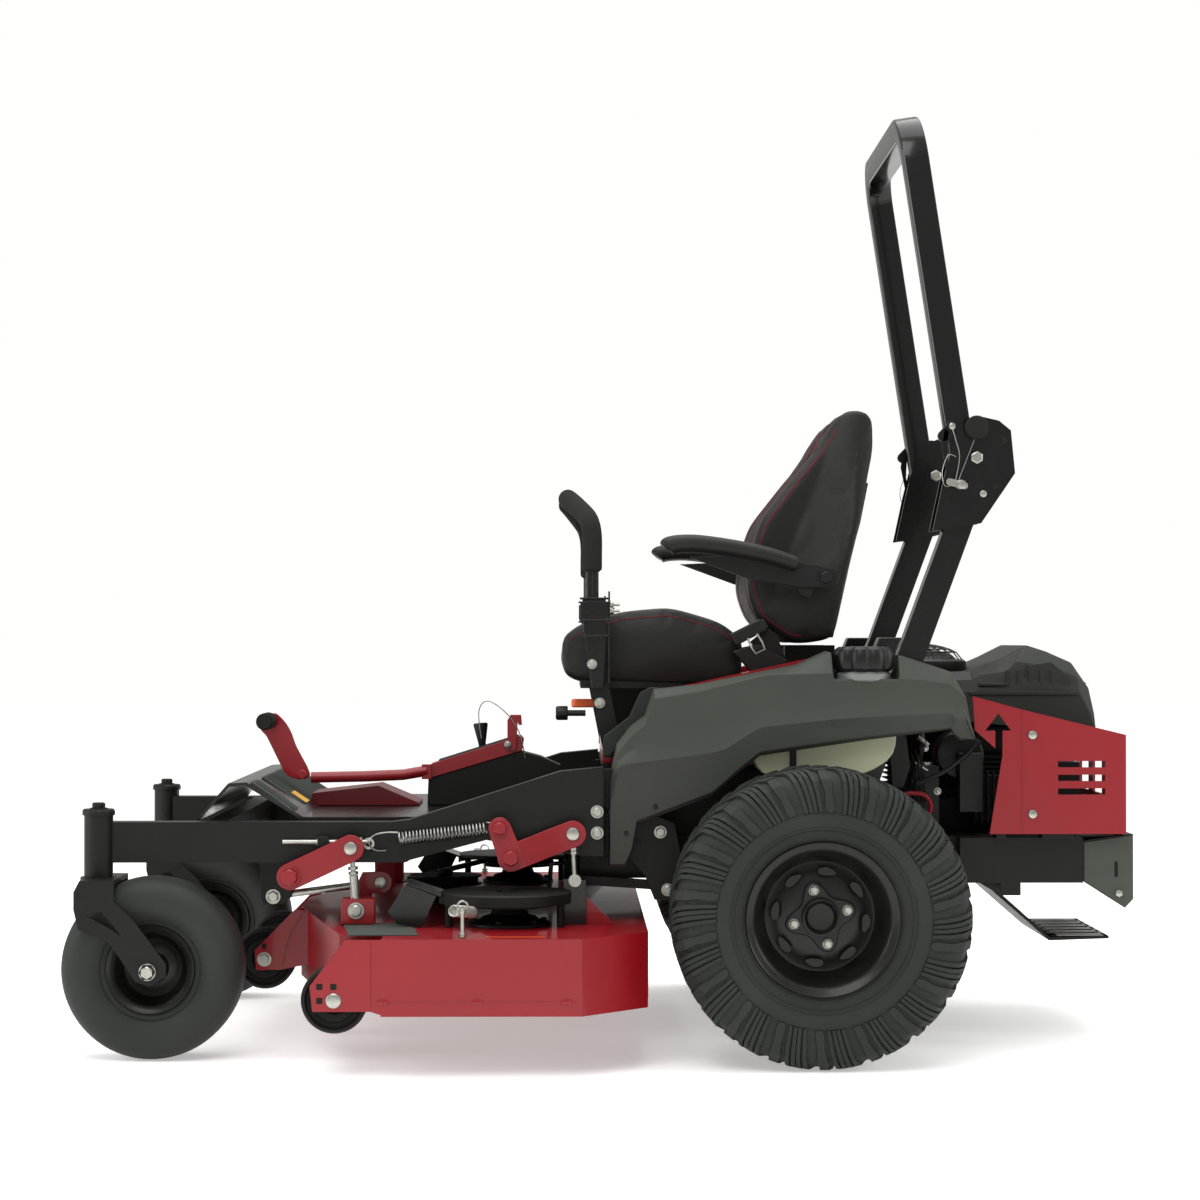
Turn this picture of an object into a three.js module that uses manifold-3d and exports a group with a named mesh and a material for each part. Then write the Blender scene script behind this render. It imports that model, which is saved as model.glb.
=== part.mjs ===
// Zero-turn riding mower, built as separate pieces in millimetres.
// +X is forward, +Y is the machine's left side, +Z is up. While the pieces are made, X = 0 is the
// rear axle and Z = 0 the ground; at the end the whole group is moved so that the origin is the
// middle of the underside of its bounding box.
import * as THREE from "three";
import { mergeVertices } from "three/addons/utils/BufferGeometryUtils.js";
import Module from "manifold-3d";

const wasm = await Module();
wasm.setup();

// ---- driving dimensions ----
const GAP = 0.3; // clearance between pieces that rest on each other
const DRIVE = { y: 575, radius: 275, halfWidth: 140, face: 620 };
const CASTER = { swivelX: 1349, y: 480, trail: 105, radius: 170, halfWidth: 75 };
const WHEEL_SIDES = 32;
const CASTER_SIDES = 24;
const RAIL = { frontY: 460, rearY: 330, width: 50 };
const TUBE = 50.8; // square roll-bar tube
const ROPS = { y: 320, pivotX: -326, pivotZ: 1138, topZ: 1820, lean: 8.7 };
const DECK = { halfWidth: 775, top: 250, skirt: 112, wall: 5 };
const SPINDLES = [
  ["left", 575, 505],
  ["centre", 715, 0],
  ["right", 575, -505],
];
const BLADE = { length: 492, width: 60, z: 150, thick: 6 };
const PULLEY_RADIUS = 75;
const ROLLERS = [
  ["front_left", 884, 140, 732, 64],
  ["front_right", 884, 140, -732, 64],
  ["inner_left", 1064, 155, 175, 54],
  ["inner_right", 1064, 155, -175, 54],
];
const ROLLER_RADIUS = 60;
const ENGINE_SHAFT_X = -300;
const ARM_Y = 519; // lift arms, middle of their thickness
const LINK_Y = 503; // hangers between the lift arms and the deck
const FRONT_ARM = { pivot: [985, 342], tip: [872, 395] };
const REAR_ARM = { pivot: [572, 376], tip: [456, 421], spring: [593, 432] };
const FRONT_LINK_FOOT = [862, 280];
const REAR_LINK_FOOT = [452, 333];
const LEVER = { y: 300 };

// ---- paints and plastics ----
const look = (color, roughness, metalness) => ({ color, roughness, metalness });
const RED = look(0x8f1a24, 0.35, 0.1);
const BLACK_PAINT = look(0x1c1c1b, 0.45, 0.2);
const GLOSS_BLACK = look(0x101010, 0.2, 0.3);
const PLASTIC = look(0x343735, 0.6, 0);
const RUBBER = look(0x262726, 0.85, 0);
const VINYL = look(0x1d1d1f, 0.6, 0);
const FOAM = look(0x141414, 0.9, 0);
const STEEL = look(0xb4b4ac, 0.35, 0.9);
const TANK = look(0xbcbc9f, 0.5, 0);
const ORANGE = look(0xe0632a, 0.5, 0);

const machine = new THREE.Group();

// ---- shape helpers ----
const outline = (points) => new THREE.Shape(points.map(([x, y]) => new THREE.Vector2(x, y)));

// A flat outline in X and Z, thick from y0 to y1.
function plate(points, y0, y1) {
  const shape = points.isShape ? points : outline(points);
  const made = new THREE.ExtrudeGeometry(shape, { depth: y1 - y0, bevelEnabled: false });
  return made.rotateX(Math.PI / 2).translate(0, y1, 0);
}

// A flat outline in X and Y, thick from z0 to z1.
function slab(points, z0, z1) {
  const shape = points.isShape ? points : outline(points);
  return new THREE.ExtrudeGeometry(shape, { depth: z1 - z0, bevelEnabled: false }).translate(0, 0, z0);
}

// A flat outline in Y and Z, thick from x0 to x1.
function section(points, x0, x1) {
  const shape = points.isShape ? points : outline(points);
  const made = new THREE.ExtrudeGeometry(shape, { depth: x1 - x0, bevelEnabled: false });
  const turn = new THREE.Matrix4().makeBasis(
    new THREE.Vector3(0, 1, 0),
    new THREE.Vector3(0, 0, 1),
    new THREE.Vector3(1, 0, 0),
  );
  return made.applyMatrix4(turn).translate(x0, 0, 0);
}

function block(x0, x1, y0, y1, z0, z1) {
  const made = new THREE.BoxGeometry(x1 - x0, y1 - y0, z1 - z0);
  return made.translate((x0 + x1) / 2, (y0 + y1) / 2, (z0 + z1) / 2);
}

// A round bar along Y, with one flat facet facing down.
function crossBar(x, z, radius, y0, y1, sides = 12) {
  const made = new THREE.CylinderGeometry(radius, radius, y1 - y0, sides);
  return made.rotateY(Math.PI / sides).translate(x, (y0 + y1) / 2, z);
}

function upright(x, y, radius, z0, z1, sides = 12) {
  const made = new THREE.CylinderGeometry(radius, radius, z1 - z0, sides);
  return made.rotateX(Math.PI / 2).translate(x, y, (z0 + z1) / 2);
}

// A round bar between two points.
function rod(from, to, radius, sides = 10) {
  const a = new THREE.Vector3(...from);
  const b = new THREE.Vector3(...to);
  const made = new THREE.CylinderGeometry(radius, radius, a.distanceTo(b), sides);
  const turn = new THREE.Quaternion().setFromUnitVectors(
    new THREE.Vector3(0, 1, 0),
    b.clone().sub(a).normalize(),
  );
  return made.applyQuaternion(turn).translate(...a.add(b).multiplyScalar(0.5).toArray());
}

// A ring or disc turned about Y: the profile holds [radius, y] points, y measured from the middle.
function turned(profile, x, y, z, sides, side = 1) {
  const points = profile.map(([r, h]) => new THREE.Vector2(r, h * side));
  if (side < 0) points.reverse();
  const made = new THREE.LatheGeometry(points, sides);
  return made.rotateY(Math.PI / sides).translate(x, y, z);
}

// A bar with round ends between two [x, z] points.
function capsule([ax, az], [bx, bz], radius, steps = 4) {
  const heading = Math.atan2(bz - az, bx - ax);
  const shape = new THREE.Shape();
  shape.absarc(bx, bz, radius, heading - Math.PI / 2, heading + Math.PI / 2, false);
  shape.absarc(ax, az, radius, heading + Math.PI / 2, heading + (3 * Math.PI) / 2, false);
  return shape.getPoints(steps).map((p) => [p.x, p.y]);
}

// ---- solids ----
function solid(geometry) {
  const bare = geometry.index ? geometry.toNonIndexed() : geometry.clone();
  const place = new THREE.BufferGeometry().setAttribute("position", bare.getAttribute("position"));
  const merged = mergeVertices(place, 1e-3);
  const mesh = new wasm.Mesh({
    numProp: 3,
    vertProperties: merged.attributes.position.array,
    triVerts: new Uint32Array(merged.index.array),
  });
  return new wasm.Manifold(mesh);
}

function geometryOf(body) {
  const mesh = body.getMesh();
  const made = new THREE.BufferGeometry();
  made.setAttribute("position", new THREE.BufferAttribute(new Float32Array(mesh.vertProperties), 3));
  made.setIndex(new THREE.BufferAttribute(new Uint32Array(mesh.triVerts), 1));
  return made;
}

const join = (...parts) => parts.map(solid).reduce((whole, part) => whole.add(part));
const cut = (whole, ...tools) => tools.map(solid).reduce((left, tool) => left.subtract(tool), whole);

function add(name, shape, paint) {
  const geometry = shape.isBufferGeometry ? shape : geometryOf(shape);
  const mesh = new THREE.Mesh(geometry, new THREE.MeshStandardMaterial(paint));
  mesh.name = name;
  machine.add(mesh);
}

// The same piece on both sides: y limits given for the left, mirrored for the right.
const SIDES = [
  ["left", 1],
  ["right", -1],
];
const span = (side, near, far) => (side > 0 ? [near, far] : [-far, -near]);
const sidePlate = (points, side, near, far) => plate(points, ...span(side, near, far));
const sideBlock = (x0, x1, side, near, far, z0, z1) => block(x0, x1, ...span(side, near, far), z0, z1);
const sideBar = (x, z, radius, side, near, far, sides) =>
  crossBar(x, z, radius, ...span(side, near, far), sides);

// ---- chassis ----
function mainFrame() {
  const parts = [];
  const front = [RAIL.frontY - RAIL.width / 2, RAIL.frontY + RAIL.width / 2];
  const rear = [RAIL.rearY - RAIL.width / 2, RAIL.rearY + RAIL.width / 2];
  const slope = [
    [800, 366],
    [800, 442],
    [765, 446],
    [480, 537],
    [398, 545],
    [398, 377],
    [446, 379],
    [619, 408],
    [715, 383],
    [780, 366],
  ];
  for (const [, side] of SIDES) {
    parts.push(sideBlock(780, 1330, side, ...front, 366, 442));
    parts.push(sidePlate(slope, side, ...front));
    parts.push(sideBlock(-597.7, 440, side, ...rear, 326, 406));
    parts.push(upright(CASTER.swivelX, side * CASTER.y, 26, 345, 456));
    parts.push(upright(CASTER.swivelX, side * CASTER.y, 29.5, 455, 466));
    parts.push(upright(CASTER.swivelX, side * CASTER.y, 12, 465, 478, 6));
    parts.push(sideBlock(-30, 398, side, 296, 306, 400, 544.7));
    parts.push(sideBlock(350, 405, side, 288, 312, 430, 528));
  }
  parts.push(block(398, 440, -440, 440, 380, 441));
  parts.push(block(1110, 1150, -440, 440, 381, 441.5));
  parts.push(block(-540, -160, -310, 310, 398, 406));
  parts.push(block(-30, 398, -306, 306, 538, 544.7));
  const engineHole = upright(ENGINE_SHAFT_X, 0, 62, 380, 420);
  return cut(join(...parts), engineHole);
}

function floorPan() {
  const pan = [
    [441, 442.3],
    [972, 442.3],
    [1080, 508],
    [1110, 506],
    [1166, 442.3],
    [1173, 442.3],
    [1112, 512],
    [1077, 514],
    [969, 448.3],
    [441, 448.3],
  ];
  return plate(pan, -425, 425);
}

// Lower roll-bar posts lean back from the frame to the hinge plates.
function ropsBase() {
  const parts = [];
  const foot = [-72, 406.3];
  const head = [-300, 1025];
  const half = TUBE / 2 / Math.cos(Math.atan2(head[0] - foot[0], head[1] - foot[1]));
  const post = [
    [foot[0] - half, foot[1]],
    [foot[0] + half, foot[1]],
    [head[0] + half, head[1]],
    [head[0] - half, head[1]],
  ];
  const hinge = [
    [-335, 1218],
    [-370, 1210],
    [-393, 1191],
    [-401, 1108],
    [-335, 1011],
    [-270, 1000],
    [-241, 996],
    [-262, 1094],
    [-289, 1201],
  ];
  for (const [, side] of SIDES) {
    parts.push(sidePlate(post, side, ROPS.y - TUBE / 2, ROPS.y + TUBE / 2));
    for (const near of [ROPS.y - TUBE / 2 - 6.5, ROPS.y + TUBE / 2 - 0.5]) {
      parts.push(sidePlate(hinge, side, near, near + 7));
    }
  }
  parts.push(block(-112, -84, -ROPS.y, ROPS.y, 420, 460));
  const pinHoles = SIDES.map(([, side]) => sideBar(-292, 1085, 9, side, 340, 360, 12));
  return cut(join(...parts), ...pinHoles);
}

function seatBase() {
  const ledge = [
    [330, 560],
    [330, 655],
    [300, 680],
    [260, 691],
    [9, 746],
    [-20, 750],
    [-20, 560],
  ];
  const parts = [block(-30, 397, -254, 254, 545, 600), block(-30, 340, -352, 352, 545, 600)];
  for (const [, side] of SIDES) parts.push(sidePlate(ledge, side, 254, 352));
  return join(...parts);
}

function heightBracket() {
  const outer = [
    [749, 448.6],
    [749, 524],
    [743, 533],
    [561, 590],
    [555, 585],
    [555, 448.6],
  ];
  const inner = [
    [743, 456],
    [743, 518],
    [561, 576],
    [561, 456],
  ];
  const channel = cut(join(plate(outer, -35, 35)), plate(inner, -36, 36));
  return cut(channel, upright(640, 0, 9, 530, 600, 12));
}

function fender(side) {
  const shell = [
    [385, 354],
    [385, 520],
    [372, 585],
    [345, 620],
    [318, 640],
    [301, 691],
    [216, 700],
    [27, 738],
    [-30, 764],
    [-42, 760],
    [-47, 716],
    [-153, 714],
    [-158, 757],
    [-175, 755],
    [-266, 725],
    [-289, 685],
    [-304, 596],
    [-272, 592],
    [-260, 615],
    [-105, 596],
    [102, 566],
    [140, 536],
    [192, 490],
    [335, 436],
    [350, 354],
  ];
  const hollow = [
    [379, 300],
    [379, 518],
    [366, 582],
    [341, 614],
    [312, 636],
    [296, 685],
    [215, 694],
    [26, 732],
    [-28, 757],
    [-36, 755],
    [-41, 710],
    [-159, 708],
    [-164, 750],
    [-174, 749],
    [-261, 719],
    [-283, 684],
    [-297, 560],
    [0, 500],
    [192, 440],
    [340, 380],
    [356, 300],
  ];
  const tankNeck = upright(-100, side * 420, 38, 690, 740, 16);
  const made = cut(join(sidePlate(shell, side, 362, 480)), sidePlate(hollow, side, 300, 474));
  return side > 0 ? cut(made, tankNeck) : made;
}

function fuelTank() {
  const side = [
    [98, 524],
    [-102, 527],
    [-161, 565],
    [-161, 690],
    [0, 690],
    [114, 655],
    [114, 556],
  ];
  return join(plate(side, 366, 428), upright(-100, 420, 32, 680, 716, 16));
}

function engineBlock() {
  return join(
    block(-520, -200, -200, 200, 406.3, 520),
    upright(-360, 0, 190, 500, 620, 16),
    rod([-300, 225, 560], [-300, 300, 560], 48, 12),
    rod([-300, 100, 560], [-300, 230, 560], 22, 8),
    block(-560, -500, -150, 150, 440, 540),
    upright(ENGINE_SHAFT_X, 0, 16, 282, 410, 12),
    upright(ENGINE_SHAFT_X, 0, 55, 282, 306, 20),
  );
}

function engineCover() {
  const cover = [
    [-135, 650],
    [-155, 765],
    [-339, 744],
    [-470, 775],
    [-565, 734],
    [-581, 621],
    [-421, 640],
    [-400, 650],
  ];
  const inside = [
    [-150, 630],
    [-165, 750],
    [-339, 730],
    [-468, 760],
    [-555, 724],
    [-568, 600],
    [-421, 600],
  ];
  return cut(join(plate(cover, -215, 215)), plate(inside, -205, 205));
}

// Guard of bent plate round both sides and the back of the engine.
function engineGuard() {
  const cheek = [
    [-307, 678],
    [-402, 652],
    [-600, 604],
    [-600, 415],
    [-339, 415],
    [-364, 566],
    [-311, 613],
  ];
  const notch = [
    [-356, 645],
    [-331, 612],
    [-350, 612],
    [-350, 560],
    [-364, 560],
    [-364, 612],
    [-380, 612],
  ];
  const parts = SIDES.map(([, side]) => sidePlate(cheek, side, 426, 431));
  parts.push(block(-600, -595, -431, 431, 415, 603));
  const slots = [];
  for (const [, side] of SIDES) {
    slots.push(sidePlate(notch, side, 420, 440));
    for (const z of [490, 516, 542]) slots.push(sideBlock(-560, -470, side, 420, 440, z, z + 12));
  }
  for (const y of [-300, -150, 0, 150, 300]) slots.push(block(-610, -590, y - 50, y + 50, 480, 560));
  return cut(join(...parts), ...slots);
}

function rearBumper() {
  const wing = [
    [-522, 399],
    [-618, 413],
    [-618, 289],
    [-602, 272],
    [-522, 323],
  ];
  const step = [
    [-366, 302],
    [-372, 293],
    [-493, 187],
    [-612, 191],
    [-612, 196],
    [-495, 193],
    [-376, 299],
    [-372, 302],
  ];
  const parts = [
    block(-618, -598, -405, 405, 300, 413),
    block(-402, -364, -405, 405, 296, 325.7),
    plate(step, -180, 180),
  ];
  for (const [, side] of SIDES) {
    parts.push(sidePlate(wing, side, 395, 405));
    parts.push(sideBlock(-522, -286, side, 365, 405, 320, 406));
  }
  const slots = SIDES.map(([, side]) => sideBlock(-589, -581, side, 390, 410, 331, 361));
  for (const y of [-120, -60, 0, 60, 120]) slots.push(block(-600, -510, y - 12, y + 12, 180, 200));
  return cut(join(...parts), ...slots);
}

function transaxle(side) {
  return join(
    sideBlock(-90, 80, side, 90, 340, 200, 325.7),
    sideBar(0, 275, 42, side, 330, 498, 16),
    sideBar(0, 275, 26, side, 490, DRIVE.face - 8.4, 16),
    sideBar(0, 275, 64, side, DRIVE.face - 22, DRIVE.face - 8.3, 20),
  );
}

// ---- wheels ----
function driveRim(side) {
  const profile = [
    [0, 37],
    [66, 37],
    [80, 28],
    [106, 25],
    [106, -40],
    [121, -98],
    [141, -105],
    [144, -101],
    [127, -96],
    [112, -36],
    [112, 40],
    [127, 96],
    [144, 101],
    [141, 105],
    [121, 98],
    [106, 40],
    [66, 45],
    [0, 45],
  ];
  return turned(profile, 0, side * DRIVE.y, 275, WHEEL_SIDES, side);
}

function driveTyre(side) {
  const R = DRIVE.radius / Math.cos(Math.PI / WHEEL_SIDES);
  const profile = [
    [127.6, -95],
    [145.5, -99.5],
    [175, -128],
    [215, -140],
    [250, -132],
    [R, -105],
    [R, 105],
    [250, 132],
    [215, 140],
    [175, 128],
    [145.5, 99.5],
    [127.6, 95],
    [160, 94],
    [205, 126],
    [258, 100],
    [258, -100],
    [205, -126],
    [160, -94],
    [127.6, -95],
  ];
  return turned(profile, 0, side * DRIVE.y, 275, WHEEL_SIDES, side);
}

function casterRim(side) {
  const profile = [
    [0, -83.5],
    [20, -83.5],
    [22, -8],
    [67, -8],
    [67, -56],
    [84, -60],
    [84, -54],
    [74, -49],
    [74, 49],
    [84, 54],
    [84, 60],
    [67, 56],
    [67, 8],
    [22, 8],
    [20, 83.5],
    [0, 83.5],
  ];
  const x = CASTER.swivelX - CASTER.trail;
  return turned(profile, x, side * CASTER.y, CASTER.radius, CASTER_SIDES, side);
}

function casterTyre(side) {
  const R = CASTER.radius / Math.cos(Math.PI / CASTER_SIDES);
  const profile = [
    [74.5, -48],
    [86, -53],
    [100, -66],
    [130, -75],
    [155, -66],
    [R, -38],
    [R, 38],
    [155, 66],
    [130, 75],
    [100, 66],
    [86, 53],
    [74.5, 48],
    [74.5, -48],
  ];
  const x = CASTER.swivelX - CASTER.trail;
  return turned(profile, x, side * CASTER.y, CASTER.radius, CASTER_SIDES, side);
}

function casterFork(side) {
  const leg = [
    [1370, 339],
    [1307, 339],
    [1307, 301],
    [1273, 269],
    [1210, 185],
    [1210, 161],
    [1240, 143],
    [1266, 152],
    [1314, 223],
    [1372, 248],
    [1381, 285],
    [1381, 318],
  ];
  const window = [
    [1359, 275],
    [1329, 282],
    [1292, 236],
    [1312, 250],
  ];
  const y = side * CASTER.y;
  const legs = [plate(leg, y + 84, y + 94), plate(leg, y - 94, y - 84)];
  const top = [block(1307, 1370, y - 94, y + 94, 331, 339), upright(CASTER.swivelX, y, 24, 338, 344.7)];
  const axle = [crossBar(1244, 170, 15, y + 93, y + 104, 6), crossBar(1244, 170, 15, y - 104, y - 93, 6)];
  return cut(join(...legs, ...top, ...axle), plate(window, y - 100, y + 100));
}

// ---- mowing deck ----
// Half outlines run from the front middle round the left side; the right side mirrors them.
const mirrored = (half) => [...half, ...half.map(([x, y]) => [x, -y]).reverse()];

function deckShell() {
  const { halfWidth, top, skirt, wall } = DECK;
  const outer = mirrored([
    [1001, 100],
    [880, 685],
    [800, 690],
    [800, halfWidth],
    [440, halfWidth],
    [318, 640],
  ]);
  const inner = mirrored([
    [996, 98],
    [876, 680],
    [795, 685],
    [795, halfWidth - wall],
    [442, halfWidth - wall],
    [323, 638],
  ]);
  const ccw = (points) => points.slice().reverse();
  const rollerGuard = [
    [790, 112],
    [818, 121],
    [922, 121],
    [927, 167],
    [864, 249],
    [790, 249],
  ];
  const parts = [slab(ccw(outer), skirt, top)];
  const cuts = [slab(ccw(inner), 50, top - wall)];
  for (const [, side] of SIDES) {
    parts.push(sidePlate(rollerGuard, side, halfWidth - wall, halfWidth));
    for (const near of [140, 204]) {
      const bracket = [
        [950, 150],
        [1032, 134],
        [1080, 134],
        [1082, 172],
        [1005, 249],
        [950, 249],
      ];
      parts.push(sidePlate(bracket, side, near, near + 6));
    }
    for (const x of [FRONT_LINK_FOOT[0] - 24, REAR_LINK_FOOT[0] - 20]) {
      const tall = x > 600 ? 262 : 318;
      parts.push(sideBlock(x, x + 40, side, LINK_Y - 27, LINK_Y - 3.3, 240, tall));
    }
  }
  for (const [, x, y] of SPINDLES) cuts.push(upright(x, y, 26, 200, 260));
  cuts.push(block(490, 780, -800, -760, 100, 236));
  cuts.push(block(300, 318.5, -900, 900, 100, 130));
  const shell = cut(join(...parts), ...cuts);
  // Keep the metal of the roller brackets outside the blade chamber only.
  return cut(shell, slab(ccw(inner), 50, top - wall));
}

function dischargeChute() {
  const bend = [
    [-775.3 - 6, 246],
    [-979, 192],
    [-984, 124],
    [-978, 124],
    [-973, 187],
    [-781.3, 239],
  ];
  return section(bend.reverse(), 492, 778);
}

function spindle(x, y) {
  const foot = BLADE.z + BLADE.thick + GAP;
  const profile = [
    [0, foot],
    [22, foot],
    [22, 180],
    [15, 184],
    [15, 285],
    [PULLEY_RADIUS, 285],
    [PULLEY_RADIUS, 289],
    [PULLEY_RADIUS - 8, 290],
    [PULLEY_RADIUS - 8, 300.7],
    [PULLEY_RADIUS, 301.5],
    [PULLEY_RADIUS, 305],
    [15, 305],
    [15, 317],
    [0, 317],
  ].map(([r, z]) => new THREE.Vector2(r, z));
  return new THREE.LatheGeometry(profile, 20).rotateX(Math.PI / 2).translate(x, y, 0);
}

// The trailing half of each wing is turned up to lift the grass.
function blade(x, y) {
  const { length, width, z, thick } = BLADE;
  const bar = block(-length / 2, length / 2, -width / 2, width / 2, z, z + thick);
  const wing = (end) => {
    const flat = section(
      [
        [0, z],
        [width / 2, z],
        [width / 2 + 6, z + 18],
        [width / 2 + 1, z + 18],
        [width / 2 - 5, z + thick],
        [0, z + thick],
      ],
      length / 2 - 110,
      length / 2,
    );
    return end > 0 ? flat : flat.rotateZ(Math.PI);
  };
  const made = geometryOf(join(bar, wing(1), wing(-1)));
  return made.rotateZ(Math.PI / 2).translate(x, y, 0);
}

// Tangent loop round equal circles, used for the belt.
function loopRound(centres, radius) {
  const shape = new THREE.Shape();
  const count = centres.length;
  const heading = (from, to) => Math.atan2(to[1] - from[1], to[0] - from[0]) - Math.PI / 2;
  centres.forEach((centre, i) => {
    const before = centres[(i + count - 1) % count];
    const after = centres[(i + 1) % count];
    shape.absarc(centre[0], centre[1], radius, heading(before, centre), heading(centre, after), false);
  });
  return shape.getPoints(6).map((p) => [p.x, p.y]).slice(0, -1);
}

function deckBelt() {
  const centres = SPINDLES.map(([, x, y]) => [x, y]).reverse();
  const outer = slab(loopRound(centres, PULLEY_RADIUS + 4), 290.3, 300.3);
  const inner = slab(loopRound(centres, PULLEY_RADIUS - 5), 280, 310);
  return cut(join(outer), inner);
}

function roller(x, z, y, width) {
  const half = width / 2;
  const profile = [
    [0, -half],
    [ROLLER_RADIUS - 6, -half],
    [ROLLER_RADIUS, -half + 8],
    [ROLLER_RADIUS, half - 8],
    [ROLLER_RADIUS - 6, half],
    [0, half],
  ];
  return turned(profile, x, y, z, 20);
}

// ---- deck lift ----
function rockshaft(arm, side0) {
  const parts = [crossBar(arm.pivot[0], arm.pivot[1], 19, -ARM_Y, ARM_Y)];
  for (const [, side] of SIDES) {
    parts.push(sidePlate(capsule(arm.pivot, arm.tip, 25), side, ARM_Y - 4, ARM_Y + 4));
    if (arm.spring && side === side0) {
      parts.push(sidePlate(capsule(arm.pivot, arm.spring, 22), side, ARM_Y - 4, ARM_Y + 4));
    }
  }
  return join(...parts);
}

// Hanger between a lift arm and the deck, pinned at its foot.
function liftLink(foot, tip, side) {
  return join(
    sidePlate(capsule(foot, tip, 9, 4), side, LINK_Y - 3, LINK_Y + 3),
    sideBar(foot[0], foot[1], 12, side, LINK_Y + 2, LINK_Y + 9, 6),
    sideBar(tip[0], tip[1], 12, side, LINK_Y + 2, ARM_Y - 4.3, 6),
  );
}

function liftPedal() {
  const arm = [
    [1058, 622],
    [993, 530],
    [985, 505],
    [1003, 498],
    [1016, 512],
    [1078, 608],
  ];
  return join(
    plate(arm, 60, 68),
    crossBar(1070, 622, 15, 60, 160, 16),
    crossBar(1001, 514, 17, 52, 92, 12),
  );
}

const LIFT_SPRING = { from: [785, 500, 411], to: [612, 500, 430], radius: 13 };

// ---- operator's controls and seat ----
function leverArm(side) {
  const bar = [
    [356, 556],
    [394, 556],
    [420, 688],
    [436, 824],
    [436, 863],
    [392, 863],
    [392, 824],
    [386, 700],
  ];
  return sidePlate(bar, side, LEVER.y - 25, LEVER.y - 13);
}

function leverHandle(side) {
  const y = side * LEVER.y;
  return join(
    sidePlate([[396, 690], [420, 690], [432, 872], [406, 872]], side, LEVER.y - 12.7, LEVER.y + 12),
    rod([418, y, 867], [418, y, 1011], 19, 12),
    rod([418, y, 1005], [465, y - side * 170, 1066], 19, 12),
    new THREE.SphereGeometry(19, 10, 6).translate(418, y, 1008),
  );
}

function ropsHoop() {
  const reach = ROPS.topZ - ROPS.pivotZ;
  const width = TUBE - 3; // slips between the hinge plates
  const outerHalf = ROPS.y + width / 2;
  const round = 95;
  const foot = -92;
  const top = reach / Math.cos(THREE.MathUtils.degToRad(ROPS.lean)) - 6;
  const arch = new THREE.Shape();
  arch.moveTo(outerHalf, foot);
  arch.lineTo(outerHalf, top - round);
  arch.absarc(outerHalf - round, top - round, round, 0, Math.PI / 2, false);
  arch.lineTo(-outerHalf + round, top);
  arch.absarc(-outerHalf + round, top - round, round, Math.PI / 2, Math.PI, false);
  arch.lineTo(-outerHalf, foot);
  arch.lineTo(-outerHalf + width, foot);
  arch.lineTo(-outerHalf + width, top - round);
  arch.absarc(-outerHalf + round, top - round, round - width, Math.PI, Math.PI / 2, true);
  arch.lineTo(outerHalf - round, top - width);
  arch.absarc(outerHalf - round, top - round, round - width, Math.PI / 2, 0, true);
  arch.lineTo(outerHalf - width, foot);
  const points = arch.getPoints(5).map((p) => [p.x, p.y]);
  const made = section(points, -TUBE / 2, TUBE / 2);
  made.rotateY(THREE.MathUtils.degToRad(ROPS.lean));
  return made.translate(-301, 0, ROPS.pivotZ);
}

function ropsPin(side) {
  return join(
    sideBar(-292, 1085, 7, side, ROPS.y + TUBE / 2 + 2, 392, 12),
    sideBar(-292, 1085, 12, side, 354, 360, 12),
    sideBar(-292, 1085, 11, side, 384, 394, 12),
  );
}

const CUSHION = [
  [475, 785],
  [469, 722],
  [441, 706.3],
  [134, 706.3],
  [114, 785],
  [163, 821],
  [262, 850],
  [362, 841],
];
const BACKREST = [
  [-35, 1201],
  [-75, 1237],
  [-118, 1245],
  [-142, 1231],
  [-138, 1182],
  [-118, 1023],
  [-91, 944],
  [-59, 785],
  [24, 775],
  [104, 825],
  [132, 884],
  [128, 944],
  [104, 1023],
  [24, 1122],
];

// Steel pan and slide runners under the cushion, with the bracket that carries the backrest.
function seatFrame() {
  const carrier = [
    [-70, 682],
    [30, 682],
    [30, 774.7],
    [-70, 783],
  ];
  const parts = [
    block(-60, 399, -150, 150, 640, 700),
    block(-66, 440, -235, 235, 690, 706),
  ];
  for (const [, side] of SIDES) {
    parts.push(sideBlock(-30, 390, side, 120, 150, 600.3, 645));
    parts.push(sidePlate(carrier, side, 100, 140));
  }
  return cut(join(...parts), block(-200, 700, -400, 400, 774.7, 900));
}

function armrest(side) {
  const arm = [
    [226, 945],
    [109, 902],
    [11, 887],
    [-63, 887],
    [-71, 922],
    [11, 938],
    [120, 950],
  ];
  const pad = [
    [276, 957],
    [262, 984],
    [227, 994],
    [91, 970],
    [13, 941],
    [22, 921],
    [130, 941],
    [227, 949],
  ];
  return join(sidePlate(arm, side, 236, 276), sidePlate(pad, side, 266, 330));
}

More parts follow.
